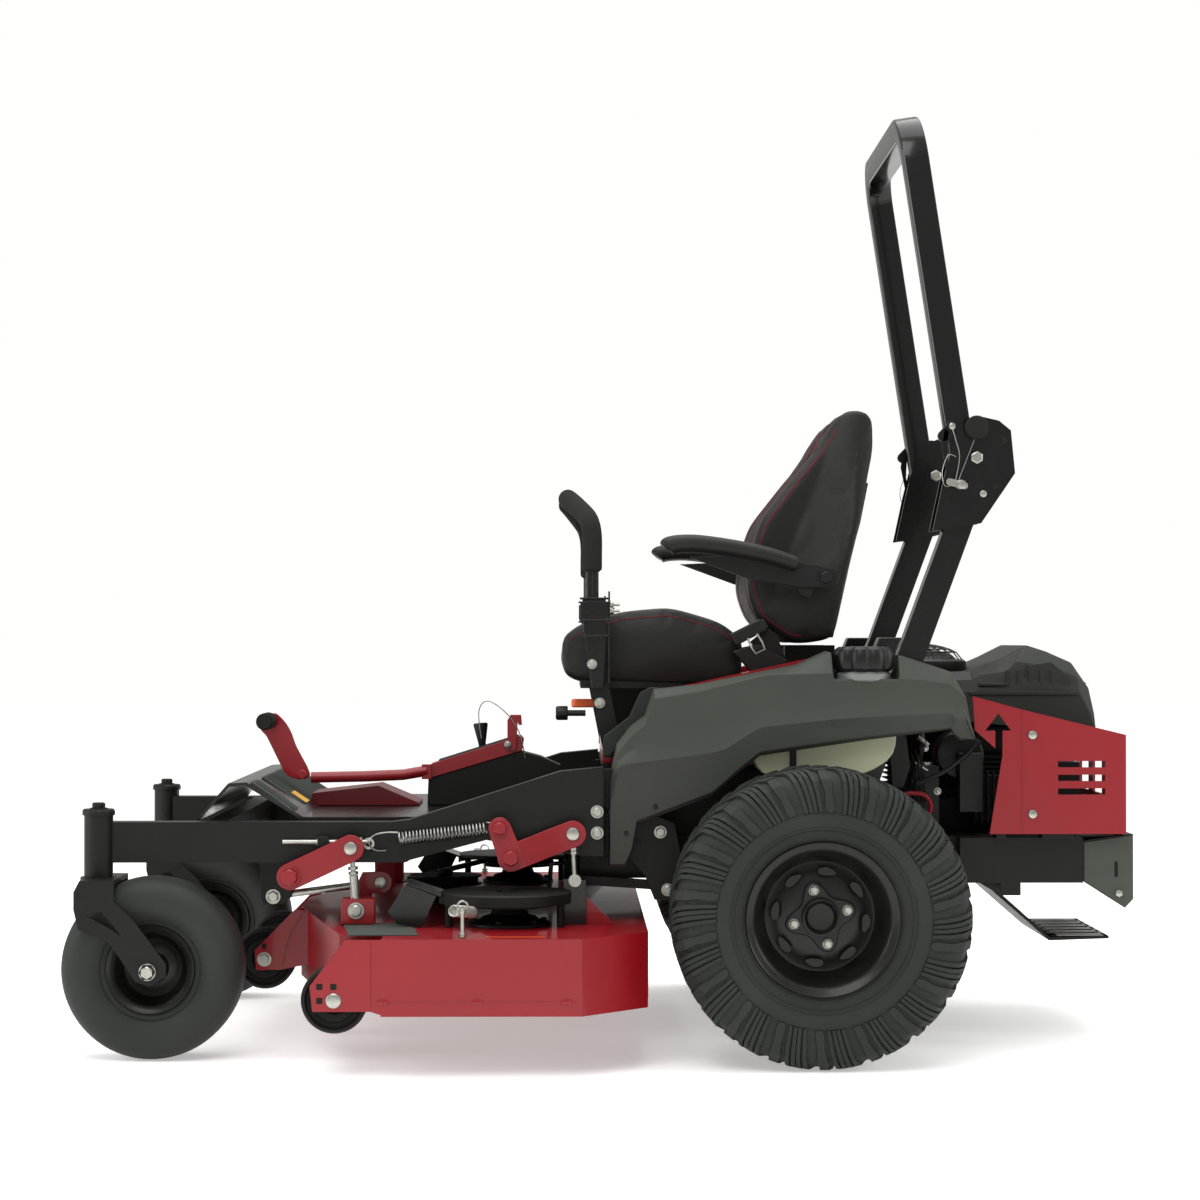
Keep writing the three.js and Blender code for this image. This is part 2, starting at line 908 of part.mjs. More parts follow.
// ---- assembly ----
add("main_frame", mainFrame(), BLACK_PAINT);
add("floor_pan", floorPan(), BLACK_PAINT);
add("rops_base", ropsBase(), GLOSS_BLACK);
add("seat_base", seatBase(), RED);
add("height_bracket", heightBracket(), RED);
add("engine_block", engineBlock(), BLACK_PAINT);
add("engine_cover", engineCover(), PLASTIC);
add("engine_guard", engineGuard(), RED);
add("rear_bumper", rearBumper(), BLACK_PAINT);
add("fuel_tank", fuelTank(), TANK);
add("fuel_cap", upright(-100, 420, 50, 717, 774, 20), PLASTIC);
for (const [name, side] of SIDES) {
  add(`fender_${name}`, fender(side), PLASTIC);
  add(`transaxle_${name}`, transaxle(side), BLACK_PAINT);
  add(`drive_rim_${name}`, driveRim(side), GLOSS_BLACK);
  add(`drive_tyre_${name}`, driveTyre(side), RUBBER);
  add(`caster_fork_${name}`, casterFork(side), BLACK_PAINT);
  add(`caster_rim_${name}`, casterRim(side), BLACK_PAINT);
  add(`caster_tyre_${name}`, casterTyre(side), RUBBER);
  add(`lever_arm_${name}`, leverArm(side), BLACK_PAINT);
  add(`lever_handle_${name}`, leverHandle(side), FOAM);
  add(`rops_pin_${name}`, ropsPin(side), STEEL);
  add(`armrest_${name}`, armrest(side), VINYL);
  add(`front_link_${name}`, liftLink(FRONT_LINK_FOOT, FRONT_ARM.tip, side), STEEL);
  add(`rear_link_${name}`, liftLink(REAR_LINK_FOOT, REAR_ARM.tip, side), STEEL);
}
add("rops_hoop", ropsHoop(), GLOSS_BLACK);
add("seat_frame", seatFrame(), BLACK_PAINT);
add("seat_cushion", plate(CUSHION, -245, 245), VINYL);
add("seat_back", plate(BACKREST, -230, 230), VINYL);
add("seat_lever", block(404, 447, 128, 150, 650, 668), ORANGE);
add("deck_shell", deckShell(), RED);
add("discharge_chute", dischargeChute(), PLASTIC);
add("deck_belt", deckBelt(), RUBBER);
for (const [name, x, y] of SPINDLES) {
  add(`spindle_${name}`, spindle(x, y), BLACK_PAINT);
  add(`blade_${name}`, blade(x, y), STEEL);
}
for (const [name, x, z, y, width] of ROLLERS) add(`roller_${name}`, roller(x, z, y, width), RUBBER);
add("front_rockshaft", rockshaft(FRONT_ARM, 1), RED);
add("rear_rockshaft", rockshaft(REAR_ARM, 1), RED);
add("lift_pedal", liftPedal(), RED);
add("lift_spring", rod(LIFT_SPRING.from, LIFT_SPRING.to, LIFT_SPRING.radius, 12), STEEL);
add("height_pin", join(upright(640, 0, 6, 545, 600, 12), upright(640, 0, 13, 585, 612, 16)), FOAM);

// ---- origin at the middle of the underside ----
const box = new THREE.Box3().setFromObject(machine);
const middle = box.getCenter(new THREE.Vector3());
machine.position.set(-middle.x, -middle.y, -box.min.z);

export default machine;
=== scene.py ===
from math import atan2, copysign, cos, exp, hypot, pi, radians, sin, sqrt

import bmesh
import bpy
from mathutils import Matrix, Vector


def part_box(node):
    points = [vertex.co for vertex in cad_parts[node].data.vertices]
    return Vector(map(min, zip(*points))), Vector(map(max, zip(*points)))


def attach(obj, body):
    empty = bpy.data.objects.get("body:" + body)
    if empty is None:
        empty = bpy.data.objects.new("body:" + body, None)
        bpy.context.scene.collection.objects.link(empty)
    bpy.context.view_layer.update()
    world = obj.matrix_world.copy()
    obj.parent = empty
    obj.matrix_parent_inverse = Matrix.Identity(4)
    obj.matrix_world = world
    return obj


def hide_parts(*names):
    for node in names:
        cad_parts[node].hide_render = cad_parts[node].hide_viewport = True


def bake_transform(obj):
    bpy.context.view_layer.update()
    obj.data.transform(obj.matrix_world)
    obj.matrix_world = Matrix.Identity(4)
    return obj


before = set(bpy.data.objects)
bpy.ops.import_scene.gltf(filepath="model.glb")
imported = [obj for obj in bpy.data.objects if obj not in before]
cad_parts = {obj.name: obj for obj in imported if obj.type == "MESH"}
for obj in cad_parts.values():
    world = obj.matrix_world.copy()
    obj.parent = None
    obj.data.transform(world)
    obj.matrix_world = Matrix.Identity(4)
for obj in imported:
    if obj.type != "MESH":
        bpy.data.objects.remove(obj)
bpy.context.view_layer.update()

# ---- where things are: millimetres, X = 0 at the rear axle, Y = 0 mid-plane, Z = 0 the ground ----
SIDES = (("left", 1), ("right", -1))
WHEEL = Vector((0, 575, 275))
CASTER = Vector((1244, 480, 170))
SWIVEL = Vector((1349, 480, 0))
ARM_Y, LINK_Y, LUG_Y = 519, 503, 398
FRONT_ARM = {"pivot": (985, 342), "tip": (872, 395)}
REAR_ARM = {"pivot": (572, 376), "tip": (456, 421), "spring": (593, 432)}
FRONT_LINK_FOOT = (862, 280)
REAR_LINK_FOOT = (452, 333)
SPINDLES = {"left": (575, 505), "centre": (715, 0), "right": (575, -505)}
ROPS_PIVOT = (-326, 1138)
SCREEN_X = -251
SCREEN_RADIUS = 94
LUG_ANGLE = 75.7
LUG_CIRCLE = 50.8
SKY_LOW, SKY_HIGH = 0.38, 0.85
FLOOR_GLOW = 0.4
DAYLIGHT = (1, 1, 0.985, 1)
LENS = 89.25
EYE = (470.7, 6100, 785)
AIM = Vector((-0.01176, -1, 0.01345))
UP = (0, 0, 1)

RIM_BOX = zip(*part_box("drive_rim_left"), WHEEL)
ORIGIN = Vector([(low + high) / 2 - middle / 1000 for low, high, middle in RIM_BOX])


def at(x, y, z):
    """A point in the row frame, in metres."""
    return ORIGIN + Vector((x, y, z)) / 1000


# ---- finishes ----
def rgb(r, g, b):
    """A screen colour as linear light."""
    def linear(c):
        c /= 255
        return c / 12.92 if c <= 0.04045 else ((c + 0.055) / 1.055) ** 2.4
    return (linear(r), linear(g), linear(b), 1)


def shader_node(tree, kind, **values):
    """A new node with the named inputs set: To_Min stands for To Min."""
    made = tree.nodes.new("ShaderNode" + kind)
    for name, value in values.items():
        made.inputs[name.replace("_", " ")].default_value = value
    return made


def finish(name, colour, roughness, metallic=0.0, coat=0.0, specular=0.5,
           mottle=(6, 0.12), grain=(900, 0.05), orange_peel=0.0):
    """Paint, plastic, rubber or metal: mottled colour, uneven gloss and a fine bump."""
    made = bpy.data.materials.new(name)
    made.use_nodes = True
    tree = made.node_tree
    shader = tree.nodes["Principled BSDF"]
    shader.inputs["Metallic"].default_value = metallic
    shader.inputs["Coat Weight"].default_value = coat
    shader.inputs["Coat Roughness"].default_value = 0.06
    shader.inputs["Specular IOR Level"].default_value = specular
    place = shader_node(tree, "TexCoord").outputs["Object"]

    def noise(scale, detail, into):
        made_noise = shader_node(tree, "TexNoise", Scale=scale, Detail=detail)
        tree.links.new(place, made_noise.inputs["Vector"])
        tree.links.new(made_noise.outputs["Fac"], into)

    ramp = shader_node(tree, "ValToRGB")
    for stop, position, way in zip(ramp.color_ramp.elements, (0.3, 0.7), (-1, 1)):
        stop.position = position
        stop.color = (*(min(1, c * (1 + way * mottle[1])) for c in colour[:3]), 1)
    noise(mottle[0], 3.0, ramp.inputs["Fac"])
    tree.links.new(ramp.outputs["Color"], shader.inputs["Base Color"])
    gloss = shader_node(tree, "MapRange", To_Min=max(0.02, roughness - 0.06), To_Max=min(1, roughness + 0.06))
    noise(23, 5.0, gloss.inputs["Value"])
    tree.links.new(gloss.outputs["Result"], shader.inputs["Roughness"])
    bump = shader_node(tree, "Bump", Strength=grain[1], Distance=0.001)
    noise(grain[0], 2.0, bump.inputs["Height"])
    if orange_peel:
        peel = shader_node(tree, "Bump", Strength=orange_peel, Distance=0.002)
        noise(160, 1.0, peel.inputs["Height"])
        tree.links.new(bump.outputs["Normal"], peel.inputs["Normal"])
        bump = peel
    tree.links.new(bump.outputs["Normal"], shader.inputs["Normal"])
    return made


RED = finish("ruby_paint", rgb(134, 8, 21), 0.36, coat=0.25, specular=0.32, mottle=(3, 0.06),
             orange_peel=0.06)
RED_DARK = finish("hatch_paint", rgb(92, 14, 22), 0.4, coat=0.1, specular=0.3)
FRAME_BLACK = finish("satin_black", rgb(20, 21, 19), 0.42, specular=0.22, orange_peel=0.1)
GLOSS_BLACK = finish("gloss_black", rgb(10, 11, 10), 0.2, specular=0.35, coat=0.15, orange_peel=0.04)
RIM_BLACK = finish("rim_black", rgb(20, 20, 19), 0.33, specular=0.3, coat=0.05, orange_peel=0.04)
# near-black and matte: painted shade for the ring seen through the rim's slots
SLOT_SHADE = finish("painted_slot_shade", rgb(5, 5, 5), 0.9, specular=0.05)
CASTING = finish("engine_black", rgb(15, 15, 14), 0.55, specular=0.25, grain=(350, 0.35))
FENDER = finish("fender_plastic", rgb(58, 60, 54), 0.56, specular=0.26, mottle=(4, 0.05), grain=(1400, 0.22))
COVER = finish("cover_plastic", rgb(40, 42, 38), 0.5, specular=0.26, grain=(1500, 0.18))
WING = finish("bumper_paint", rgb(64, 67, 60), 0.45, specular=0.3, orange_peel=0.08)
TANK = finish("tank_plastic", rgb(176, 178, 150), 0.42, specular=0.4, mottle=(9, 0.05))
TYRE = finish("tyre_rubber", rgb(42, 46, 43), 0.7, specular=0.2, mottle=(7, 0.16), grain=(500, 0.3))
CASTER_RUBBER = finish("caster_rubber", rgb(43, 45, 43), 0.6, specular=0.22, grain=(700, 0.12))
RUBBER = finish("black_rubber", rgb(23, 23, 22), 0.7, specular=0.2, grain=(600, 0.25))
FOAM = finish("foam_grip", rgb(33, 34, 31), 0.9, specular=0.15, grain=(1300, 0.6))
VINYL = finish("seat_vinyl", rgb(25, 26, 24), 0.48, specular=0.24, mottle=(10, 0.1), grain=(750, 0.35))
ZINC = finish("zinc_plate", rgb(168, 168, 160), 0.32, metallic=0.95, mottle=(60, 0.12), grain=(500, 0.1))
STEEL = finish("worn_steel", rgb(146, 146, 142), 0.35, metallic=1.0, mottle=(40, 0.2), grain=(300, 0.2))
ORANGE = finish("orange_plastic", rgb(235, 98, 30), 0.42, coat=0.1)
KNOB = finish("knob_plastic", rgb(16, 16, 16), 0.38, specular=0.3, grain=(500, 0.08))
GRIP_PAD = finish("grip_pad", rgb(70, 73, 69), 0.95, specular=0.15, grain=(700, 1.0))
RED_RUBBER = finish("red_hose", rgb(126, 12, 28), 0.45, specular=0.35)
YELLOW = finish("yellow_patch", rgb(214, 160, 30), 0.5)
PALE = finish("pale_ring", rgb(112, 116, 114), 0.5, mottle=(8, 0.08))
STITCH = finish("red_thread", rgb(112, 18, 26), 0.75, specular=0.2, grain=(900, 0.4))


# ---- shapes ----
def basis(axis):
    """Two directions square to axis, and axis itself."""
    w = Vector(axis).normalized()
    u = Vector((0, 0, 1)) if abs(w.z) < 0.9 else Vector((1, 0, 0))
    v = w.cross(u).normalized()
    return v.cross(w), v, w


def turns(count, first=0.0):
    """Angles spaced evenly round a circle, in radians, the first of them given in degrees."""
    return [radians(first) + 2 * pi * k / count for k in range(count)]


def circle(centre, u, v, radius, count):
    """Points on a circle in the plane of u and v."""
    return [centre + (u * cos(a) + v * sin(a)) * radius for a in turns(count)]


def both_faces(half):
    """A (radius, y) profile, then its mirror image walked back."""
    return half + [(r, -y) for r, y in half[::-1]]


class Form:
    """Solids gathered into one mesh, in millimetres in the machine's frame; side -1 mirrors them in Y."""

    def __init__(self, side=1):
        self.mesh = bmesh.new()
        self.side = side

    def faces(self, points, loops):
        verts = [self.mesh.verts.new((x, self.side * y, z)) for x, y, z in points]
        for loop in loops:
            self.mesh.faces.new([verts[i] for i in loop])
        return self

    def skin(self, rings, looped=False, around=True, ends=True):
        """Rings of equally many points, each joined to the next, with the end rings filled."""
        steps, count = len(rings), len(rings[0])
        loops = []
        for i in range(steps if looped else steps - 1):
            a, b = i * count, (i + 1) % steps * count
            for k in range(count if around else count - 1):
                j = (k + 1) % count
                loops.append([a + k, a + j, b + j, b + k])
        if ends and not looped:
            loops += [list(range(count))[::-1], [(steps - 1) * count + k for k in range(count)]]
        return self.faces([point for ring in rings for point in ring], loops)

    def prism(self, outline, low, high, axis="y"):
        """An outline of (x, z) points, thick along y, or of (x, y) points, thick along z."""
        return self.skin([[(a, d, b) if axis == "y" else (a, b, d) for a, b in outline] for d in (low, high)])

    def box(self, x, y, z):
        return self.prism([(x[0], z[0]), (x[1], z[0]), (x[1], z[1]), (x[0], z[1])], *y)

    def swept(self, path, section, up):
        """A section carried along a path: section(t) gives (across, above) points for t from 0 to 1."""
        path = [Vector(p) for p in path]
        last = len(path) - 1
        rings = []
        for i, point in enumerate(path):
            along = (path[min(i + 1, last)] - path[max(i - 1, 0)]).normalized()
            across = along.cross(Vector(up)).normalized()
            above = across.cross(along)
            rings.append([point + across * a + above * b for a, b in section(i / last)])
        return self.skin(rings)

    def turned(self, profile, centre, axis=(0, 1, 0), steps=48, closed=False):
        """(radius, distance along axis) points turned about the axis; an open profile gets flat ends."""
        u, v, w = basis(axis)
        if not closed:
            (r0, low), (r1, high) = profile[0], profile[-1]
            profile = [(0, low)] * (r0 > 0) + profile + [(0, high)] * (r1 > 0)
        points, rings, loops = [], [], []
        for radius, along in profile:
            count = 1 if radius == 0 else steps
            rings.append([len(points) + k % count for k in range(steps)])
            points += circle(Vector(centre) + w * along, u, v, radius, count)
        for low, high in zip(rings, rings[1:] + rings[:1] * closed):
            for k in range(steps):
                j = (k + 1) % steps
                loop = list(dict.fromkeys((low[k], low[j], high[j], high[k])))
                if len(loop) > 2:
                    loops.append(loop)
        return self.faces(points, loops)

    def disc(self, radius, low, high, centre, axis=(0, 1, 0), steps=24):
        """A round bar from low to high along axis."""
        return self.turned([(radius, low), (radius, high)], centre, axis, steps)

    def tube(self, path, radius, sides=10, closed=False):
        """A round bar along a path."""
        path = [Vector(p) for p in path]
        rings, u = [], None
        for i, point in enumerate(path):
            before = path[i - 1] if i or closed else point
            after = path[(i + 1) % len(path)] if i < len(path) - 1 or closed else point
            along = (after - before).normalized()
            u = basis(along)[0] if u is None else (u - along * u.dot(along)).normalized()
            rings.append(circle(point, u, along.cross(u), radius, sides))
        return self.skin(rings, looped=closed)

    def bolt(self, centre, size, axis=(0, 1, 0), washer=True):
        """A hex head of that width across corners, on a washer, standing out along axis."""
        r = size / 2
        base = 0
        if washer:
            base = r * 0.16
            self.disc(r * 1.3, 0, base, centre, axis)
        high = base + r * 0.75
        return self.turned([(r, base), (r, high), (r * 0.82, high + r * 0.1)],
                           centre, axis, 6)

    def dome(self, centre, radius, height, axis=(0, 1, 0)):
        """A round bolt head."""
        profile = [(radius, 0), (radius * 0.96, height * 0.5)]
        profile += [(radius * cos(t), height * (0.5 + 0.5 * sin(t))) for t in (0.5, 0.9, 1.25)]
        return self.turned(profile + [(0, height)], centre, axis, 28)

    def piece(self, name, material, body="chassis", bevel=0.0, segments=2, angle=35, hides=(), slot=None):
        """The finished mesh as an object that rides on a body."""
        bmesh.ops.recalc_face_normals(self.mesh, faces=self.mesh.faces)
        for vert in self.mesh.verts:
            vert.co = ORIGIN + vert.co / 1000
        data = bpy.data.meshes.new(name)
        self.mesh.to_mesh(data)
        self.mesh.free()
        data.shade_smooth()
        data.set_sharp_from_angle(angle=radians(angle))
        made = bpy.data.objects.new(name, data)
        bpy.context.collection.objects.link(made)
        data.materials.append(material)
        if bevel:
            soften(made, bevel, segments)
        if body:
            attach(made, body)
        if hides:
            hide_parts(*hides)
        return made


def soften(made, width, segments=2):
    bevel = made.modifiers.new("edges", "BEVEL")
    bevel.width = width / 1000
    bevel.segments = segments
    bevel.limit_method = "ANGLE"
    bevel.angle_limit = radians(32)
    bevel.harden_normals = True
    return bevel


def dress(node, material, bevel=0.0):
    """A CAD node that keeps its shape: merged flat faces, rounded edges and a finish."""
    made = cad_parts[node]
    made.data.materials.clear()
    made.data.materials.append(material)
    if bevel:
        flat = made.modifiers.new("flats", "DECIMATE")
        flat.decimate_type = "DISSOLVE"
        flat.angle_limit = radians(1)
        soften(made, bevel).harden_normals = False


def baked(made):
    """An object's mesh with its modifiers applied."""
    bpy.context.view_layer.update()
    evaluated = made.evaluated_get(bpy.context.evaluated_depsgraph_get())
    fresh = bpy.data.meshes.new_from_object(evaluated)
    made.modifiers.clear()
    made.data = fresh
    return fresh


def capsule(a, b, radius, far=None, steps=14):
    """Outline of a bar with round ends from a to b."""
    heading = atan2(b[1] - a[1], b[0] - a[0])
    points = []
    for centre, r, first in ((b, far or radius, -0.5), (a, radius, 0.5)):
        for k in range(steps + 1):
            angle = heading + pi * (first + k / steps)
            points.append((centre[0] + r * cos(angle), centre[1] + r * sin(angle)))
    return points


def arc(cx, cz, radius, start, end, steps=8):
    """Points on a circle from start to end, in degrees."""
    angles = [radians(start + (end - start) * k / steps) for k in range(steps + 1)]
    return [(cx + radius * cos(a), cz + radius * sin(a)) for a in angles]


def spline(points, steps=8, closed=False):
    """A smooth curve through points."""
    points = [Vector(p) for p in points]
    count = len(points)
    made = []
    for i in range(count if closed else count - 1):
        near = [(i + k) % count if closed else min(max(i + k, 0), count - 1) for k in (-1, 0, 1, 2)]
        p0, p1, p2, p3 = (points[n] for n in near)
        for k in range(steps):
            t = k / steps
            made.append(0.5 * ((2 * p1) + (p2 - p0) * t + (2 * p0 - 5 * p1 + 4 * p2 - p3) * t * t
                               + (3 * p1 - p0 - 3 * p2 + p3) * t ** 3))
    return made if closed else made + [points[-1]]


def helix(start, end, radius, coils, hand=1, steps=12):
    """A wire's path wound round the line from start to end; hand -1 winds it the other way."""
    u, v, _ = basis(Vector(end) - Vector(start))
    points = []
    for k in range(coils * steps + 1):
        a = hand * 2 * pi * k / steps
        centre = Vector(start).lerp(Vector(end), k / (coils * steps))
        points.append(centre + (u * cos(a) + v * sin(a)) * radius)
    return points


# ---- wheels ----
TREAD_CURVE = [(270, 0), (270, 60), (269, 88), (265, 106), (257, 120), (243, 130), (224, 134.5), (198, 134)]
TREAD_PITCHES = 18
TREAD_BARS = (
    # nearest and furthest distance from the crown, then angle, skew and width in degrees
    (6, 206, 0.0, 11, 2.0),
    (10, 200, 2.5, 11, 2.0),
    (14, 208, 5.0, 11, 2.0),
    (20, 196, 7.5, 10.8, 1.9),
    (5, 96, 12.4, 7, 5.0),
    (102, 198, 19.4, 3.6, 4.4),
)


def along_profile(profile, s):
    """The point and outward direction at distance s along a (radius, y) profile."""
    walked = 0
    for (r0, y0), (r1, y1) in zip(profile, profile[1:]):
        length = hypot(r1 - r0, y1 - y0)
        if walked + length >= s or (r1, y1) == profile[-1]:
            t = min(1, (s - walked) / length)
            return r0 + (r1 - r0) * t, y0 + (y1 - y0) * t, (y1 - y0) / length, -(r1 - r0) / length
        walked += length


def tread(form, centre, edge):
    """Curved, siped lugs that wrap from the crown of the tyre on to one shoulder."""
    for pitch in turns(TREAD_PITCHES, 0 if edge > 0 else 4):
        for first, last, turn, skew, width in TREAD_BARS:
            steps = max(3, int((last - first) / 20))
            rings = []
            for k in range(steps + 1):
                s = first + (last - first) * k / steps
                r, y, up_r, up_y = along_profile(TREAD_CURVE, s)
                rise = 5 + 2 * min(1, max(0, (s - 60) / 40)) - 4 * max(0, (s - 130) / 80)
                middle = pitch + radians(turn + skew * sin(1.4 * k / steps))
                half = radians(width / 2) * (1 + (0.16 if k % 2 else -0.16) * (width > 3))
                ring = []
                for sign, lift in ((-1, -2), (-1, rise), (1, rise), (1, -2)):
                    angle = middle + sign * half * (0.86 if lift > 0 else 1)
                    out = r + up_r * lift
                    spot = Vector((-out * sin(angle), (y + up_y * lift) * edge, out * cos(angle)))
                    ring.append(centre + spot)
                rings.append(ring)
            form.skin(rings)


def drive_tyre(name, side):
    centre = Vector((0, side * WHEEL.y, WHEEL.z))
    outer = [(128, 96), (134, 98), (146, 100), (150, 106), (158, 113), (172, 124), (188, 131.5), (205, 134),
             (224, 134), (243, 129.5), (257, 119.5), (265, 105.5), (269, 88), (270, 60), (270, 20)]
    inner = [(128, 86), (180, 112), (240, 112), (258, 80)]
    form = Form().turned(both_faces(outer) + both_faces(inner)[::-1], centre, steps=120, closed=True)
    for edge in (1, -1):
        for radius, out in ((163, 117.5), (170, 123), (196, 133)):
            ridge = [(radius + dr, edge * (out + dy)) for dr, dy in ((-1.6, -1), (0, 1.6), (1.6, 1))]
            form.turned(ridge, centre, steps=120, closed=True)
        tread(form, centre, edge)
    form.piece(f"tyre_{name}", TYRE, f"drive_wheel_{name}", angle=30,
               hides=[f"drive_tyre_{name}"], slot="tyre_rubber")


def boolean_cut(made, cutter):
    """Cuts the cutter's form out of an object for good."""
    tool = cutter.piece("cutter", GLOSS_BLACK, None, angle=30)
    cut = made.modifiers.new("cut", "BOOLEAN")
    cut.operation = "DIFFERENCE"
    cut.solver = "EXACT"
    cut.object = tool
    baked(made).set_sharp_from_angle(angle=radians(30))
    bpy.data.objects.remove(tool)


def rim_slots(side):
    """Eight leaf-shaped windows, cut right through the disc."""
    slots = Form(side)
    for angle in turns(8, LUG_ANGLE + 22.5):
        outline = []
        for t in turns(20):
            along = 17 * cos(t)
            r = 85 + 7.5 * sin(t) * (1 - 0.25 * cos(t)) - abs(along) * 0.1
            along *= side
            outline.append((cos(angle) * r - sin(angle) * along,
                            WHEEL.z + sin(angle) * r + cos(angle) * along))
        slots.prism(outline, WHEEL.y + 10, WHEEL.y + 45)
    return slots


def drive_rim(name, side):
    body = f"drive_wheel_{name}"
    outboard = [(60, 38), (70, 36), (84, 31), (96, 26), (102, 26), (105, 30), (107, 42),
                (111, 50), (117, 53), (119, 58), (120, 70), (122, 82), (127, 86), (129, 93), (134, 96),
                (140, 97), (143, 101), (141, 104.5)]
    lip = [(137, 101), (131, 99), (124, 93), (117, 80), (110, 56), (104, 40)]
    inboard = [(104, -35), (118, -70), (120, -96), (141, -104.5), (143, -101), (127, -95), (124, -60),
               (110, -30)]
    back = [(103, 24), (100, 21), (94, 21), (82, 26), (68, 31), (60, 33)]
    disc = Form(side).turned(outboard + lip + back, WHEEL, steps=96)
    disc = disc.piece(f"rim_disc_{name}", RIM_BLACK, None, angle=28)
    boolean_cut(disc, rim_slots(side))
    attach(disc, body)
    # a near-black ring behind the disc, seen through the slots: painted shade, not a part of the wheel
    slot_shade = Form(side).turned([(62, 8), (103, 8), (103, 13), (62, 13)], WHEEL, steps=64, closed=True)
    slot_shade.piece(f"rim_slot_shade_{name}", SLOT_SHADE, body)
    boss = []
    for angle in turns(96):
        r = 43 + 24 * (0.5 + 0.5 * cos(4 * (angle - radians(LUG_ANGLE)))) ** 1.3
        boss.append((r * cos(angle), WHEEL.z + r * sin(angle)))
    raised = Form(side).prism(boss, WHEEL.y + 36, WHEEL.y + 45.5)
    raised.piece(f"rim_boss_{name}", RIM_BLACK, body, bevel=3.5, segments=3, slot="gloss_black")
    barrel = Form(side).turned(lip[5:] + inboard + [(108, 38)], WHEEL, steps=72, closed=True)
    barrel.piece(f"rim_barrel_{name}", RIM_BLACK, body, hides=[f"drive_rim_{name}"], slot="gloss_black")
    cap = [(0, 46), (24, 47), (27, 50), (28, 58), (31, 61), (34, 60), (35, 56), (35, 44)]
    Form(side).turned(cap, WHEEL, steps=64).piece(f"hub_ring_{name}", RIM_BLACK, body, angle=25)
    nuts = Form(side)
    for angle in turns(4, LUG_ANGLE):
        spot = WHEEL + Vector((LUG_CIRCLE * cos(angle), 45, LUG_CIRCLE * sin(angle)))
        nuts.turned([(11, 0), (11, 3), (9.5, 5)], spot, steps=28)
        nuts.turned([(9, 5), (9, 13), (7.5, 15), (6, 15), (5, 13)], spot, steps=6)
    nuts.piece(f"lug_nuts_{name}", ZINC, body, bevel=0.4)
    angle = radians(LUG_ANGLE + 22.5 - 90)
    spot = WHEEL + Vector((88 * cos(angle), 28, 88 * sin(angle)))
    valve = Form(side).turned([(5, 0), (4.5, 12), (3.2, 20), (3.2, 27)], spot,
                              (cos(angle) * 0.4, 1, sin(angle) * 0.4), 16)
    valve.piece(f"valve_{name}", RUBBER, body)


def caster(name, side):
    wheel, fork = f"caster_wheel_{name}", f"caster_fork_{name}"
    section = [(75, 48), (80, 52), (88, 54), (96, 60), (104, 66.5), (116, 72), (130, 74.5), (143, 72.5),
               (154, 66.5), (163, 56), (168, 43), (170, 26), (170.3, 10)]
    tyre = Form(side).turned(both_faces(section) + [(75, -30), (75, 30)], CASTER, steps=96, closed=True)
    for edge in (1, -1):
        tyre.turned([(92, edge * 57), (94, edge * 61), (96, edge * 59.5)], CASTER, steps=96, closed=True)
    tyre.piece(f"caster_tyre_skin_{name}", CASTER_RUBBER, wheel, hides=[f"caster_tyre_{name}"],
               slot="caster_rubber")
    dish = [(19, 83), (19, 40), (24, 22), (30, 14), (44, 9), (54, 12), (62, 22), (66, 38),
            (68, 50), (74, 55), (82, 58), (83.5, 55), (76, 50), (73, 44)]
    rim = Form(side).turned(both_faces(dish), CASTER, steps=72)
    rim.piece(f"caster_rim_skin_{name}", RIM_BLACK, wheel, angle=28, hides=[f"caster_rim_{name}"],
              slot="gloss_black")
    dress(fork, FRAME_BLACK, 1.5)
    bolts = Form(side)
    for edge in (1, -1):
        spot = CASTER + Vector((0, edge * 94.5, 0))
        bolts.disc(16, 0, 2, spot, (0, edge, 0), 28)
        bolts.bolt(spot + Vector((0, edge * 2, 0)), 24, (0, edge, 0), washer=False)
    bolts.piece(f"axle_bolts_{name}", ZINC, fork, bevel=0.5)
    collar = [(34, 329), (34, 339.5), (27, 341), (27, 344.6)]
    Form(side).turned(collar, SWIVEL, UP, 40).piece(f"swivel_collar_{name}", FRAME_BLACK, fork)
    housing = [(0, 344.8), (27, 345), (27, 455), (30.5, 456), (30.5, 463), (28, 467), (14, 467), (14, 468)]
    housing = Form(side).turned(housing, SWIVEL, UP)
    housing.piece(f"caster_housing_{name}", FRAME_BLACK, angle=28)
    top = Form(side).disc(17, 466, 469, SWIVEL, UP, 28)
    top.turned([(12.5, 469), (12.5, 477), (10.5, 479)], SWIVEL, UP, 6)
    top.piece(f"swivel_bolt_{name}", FRAME_BLACK, bevel=0.5)


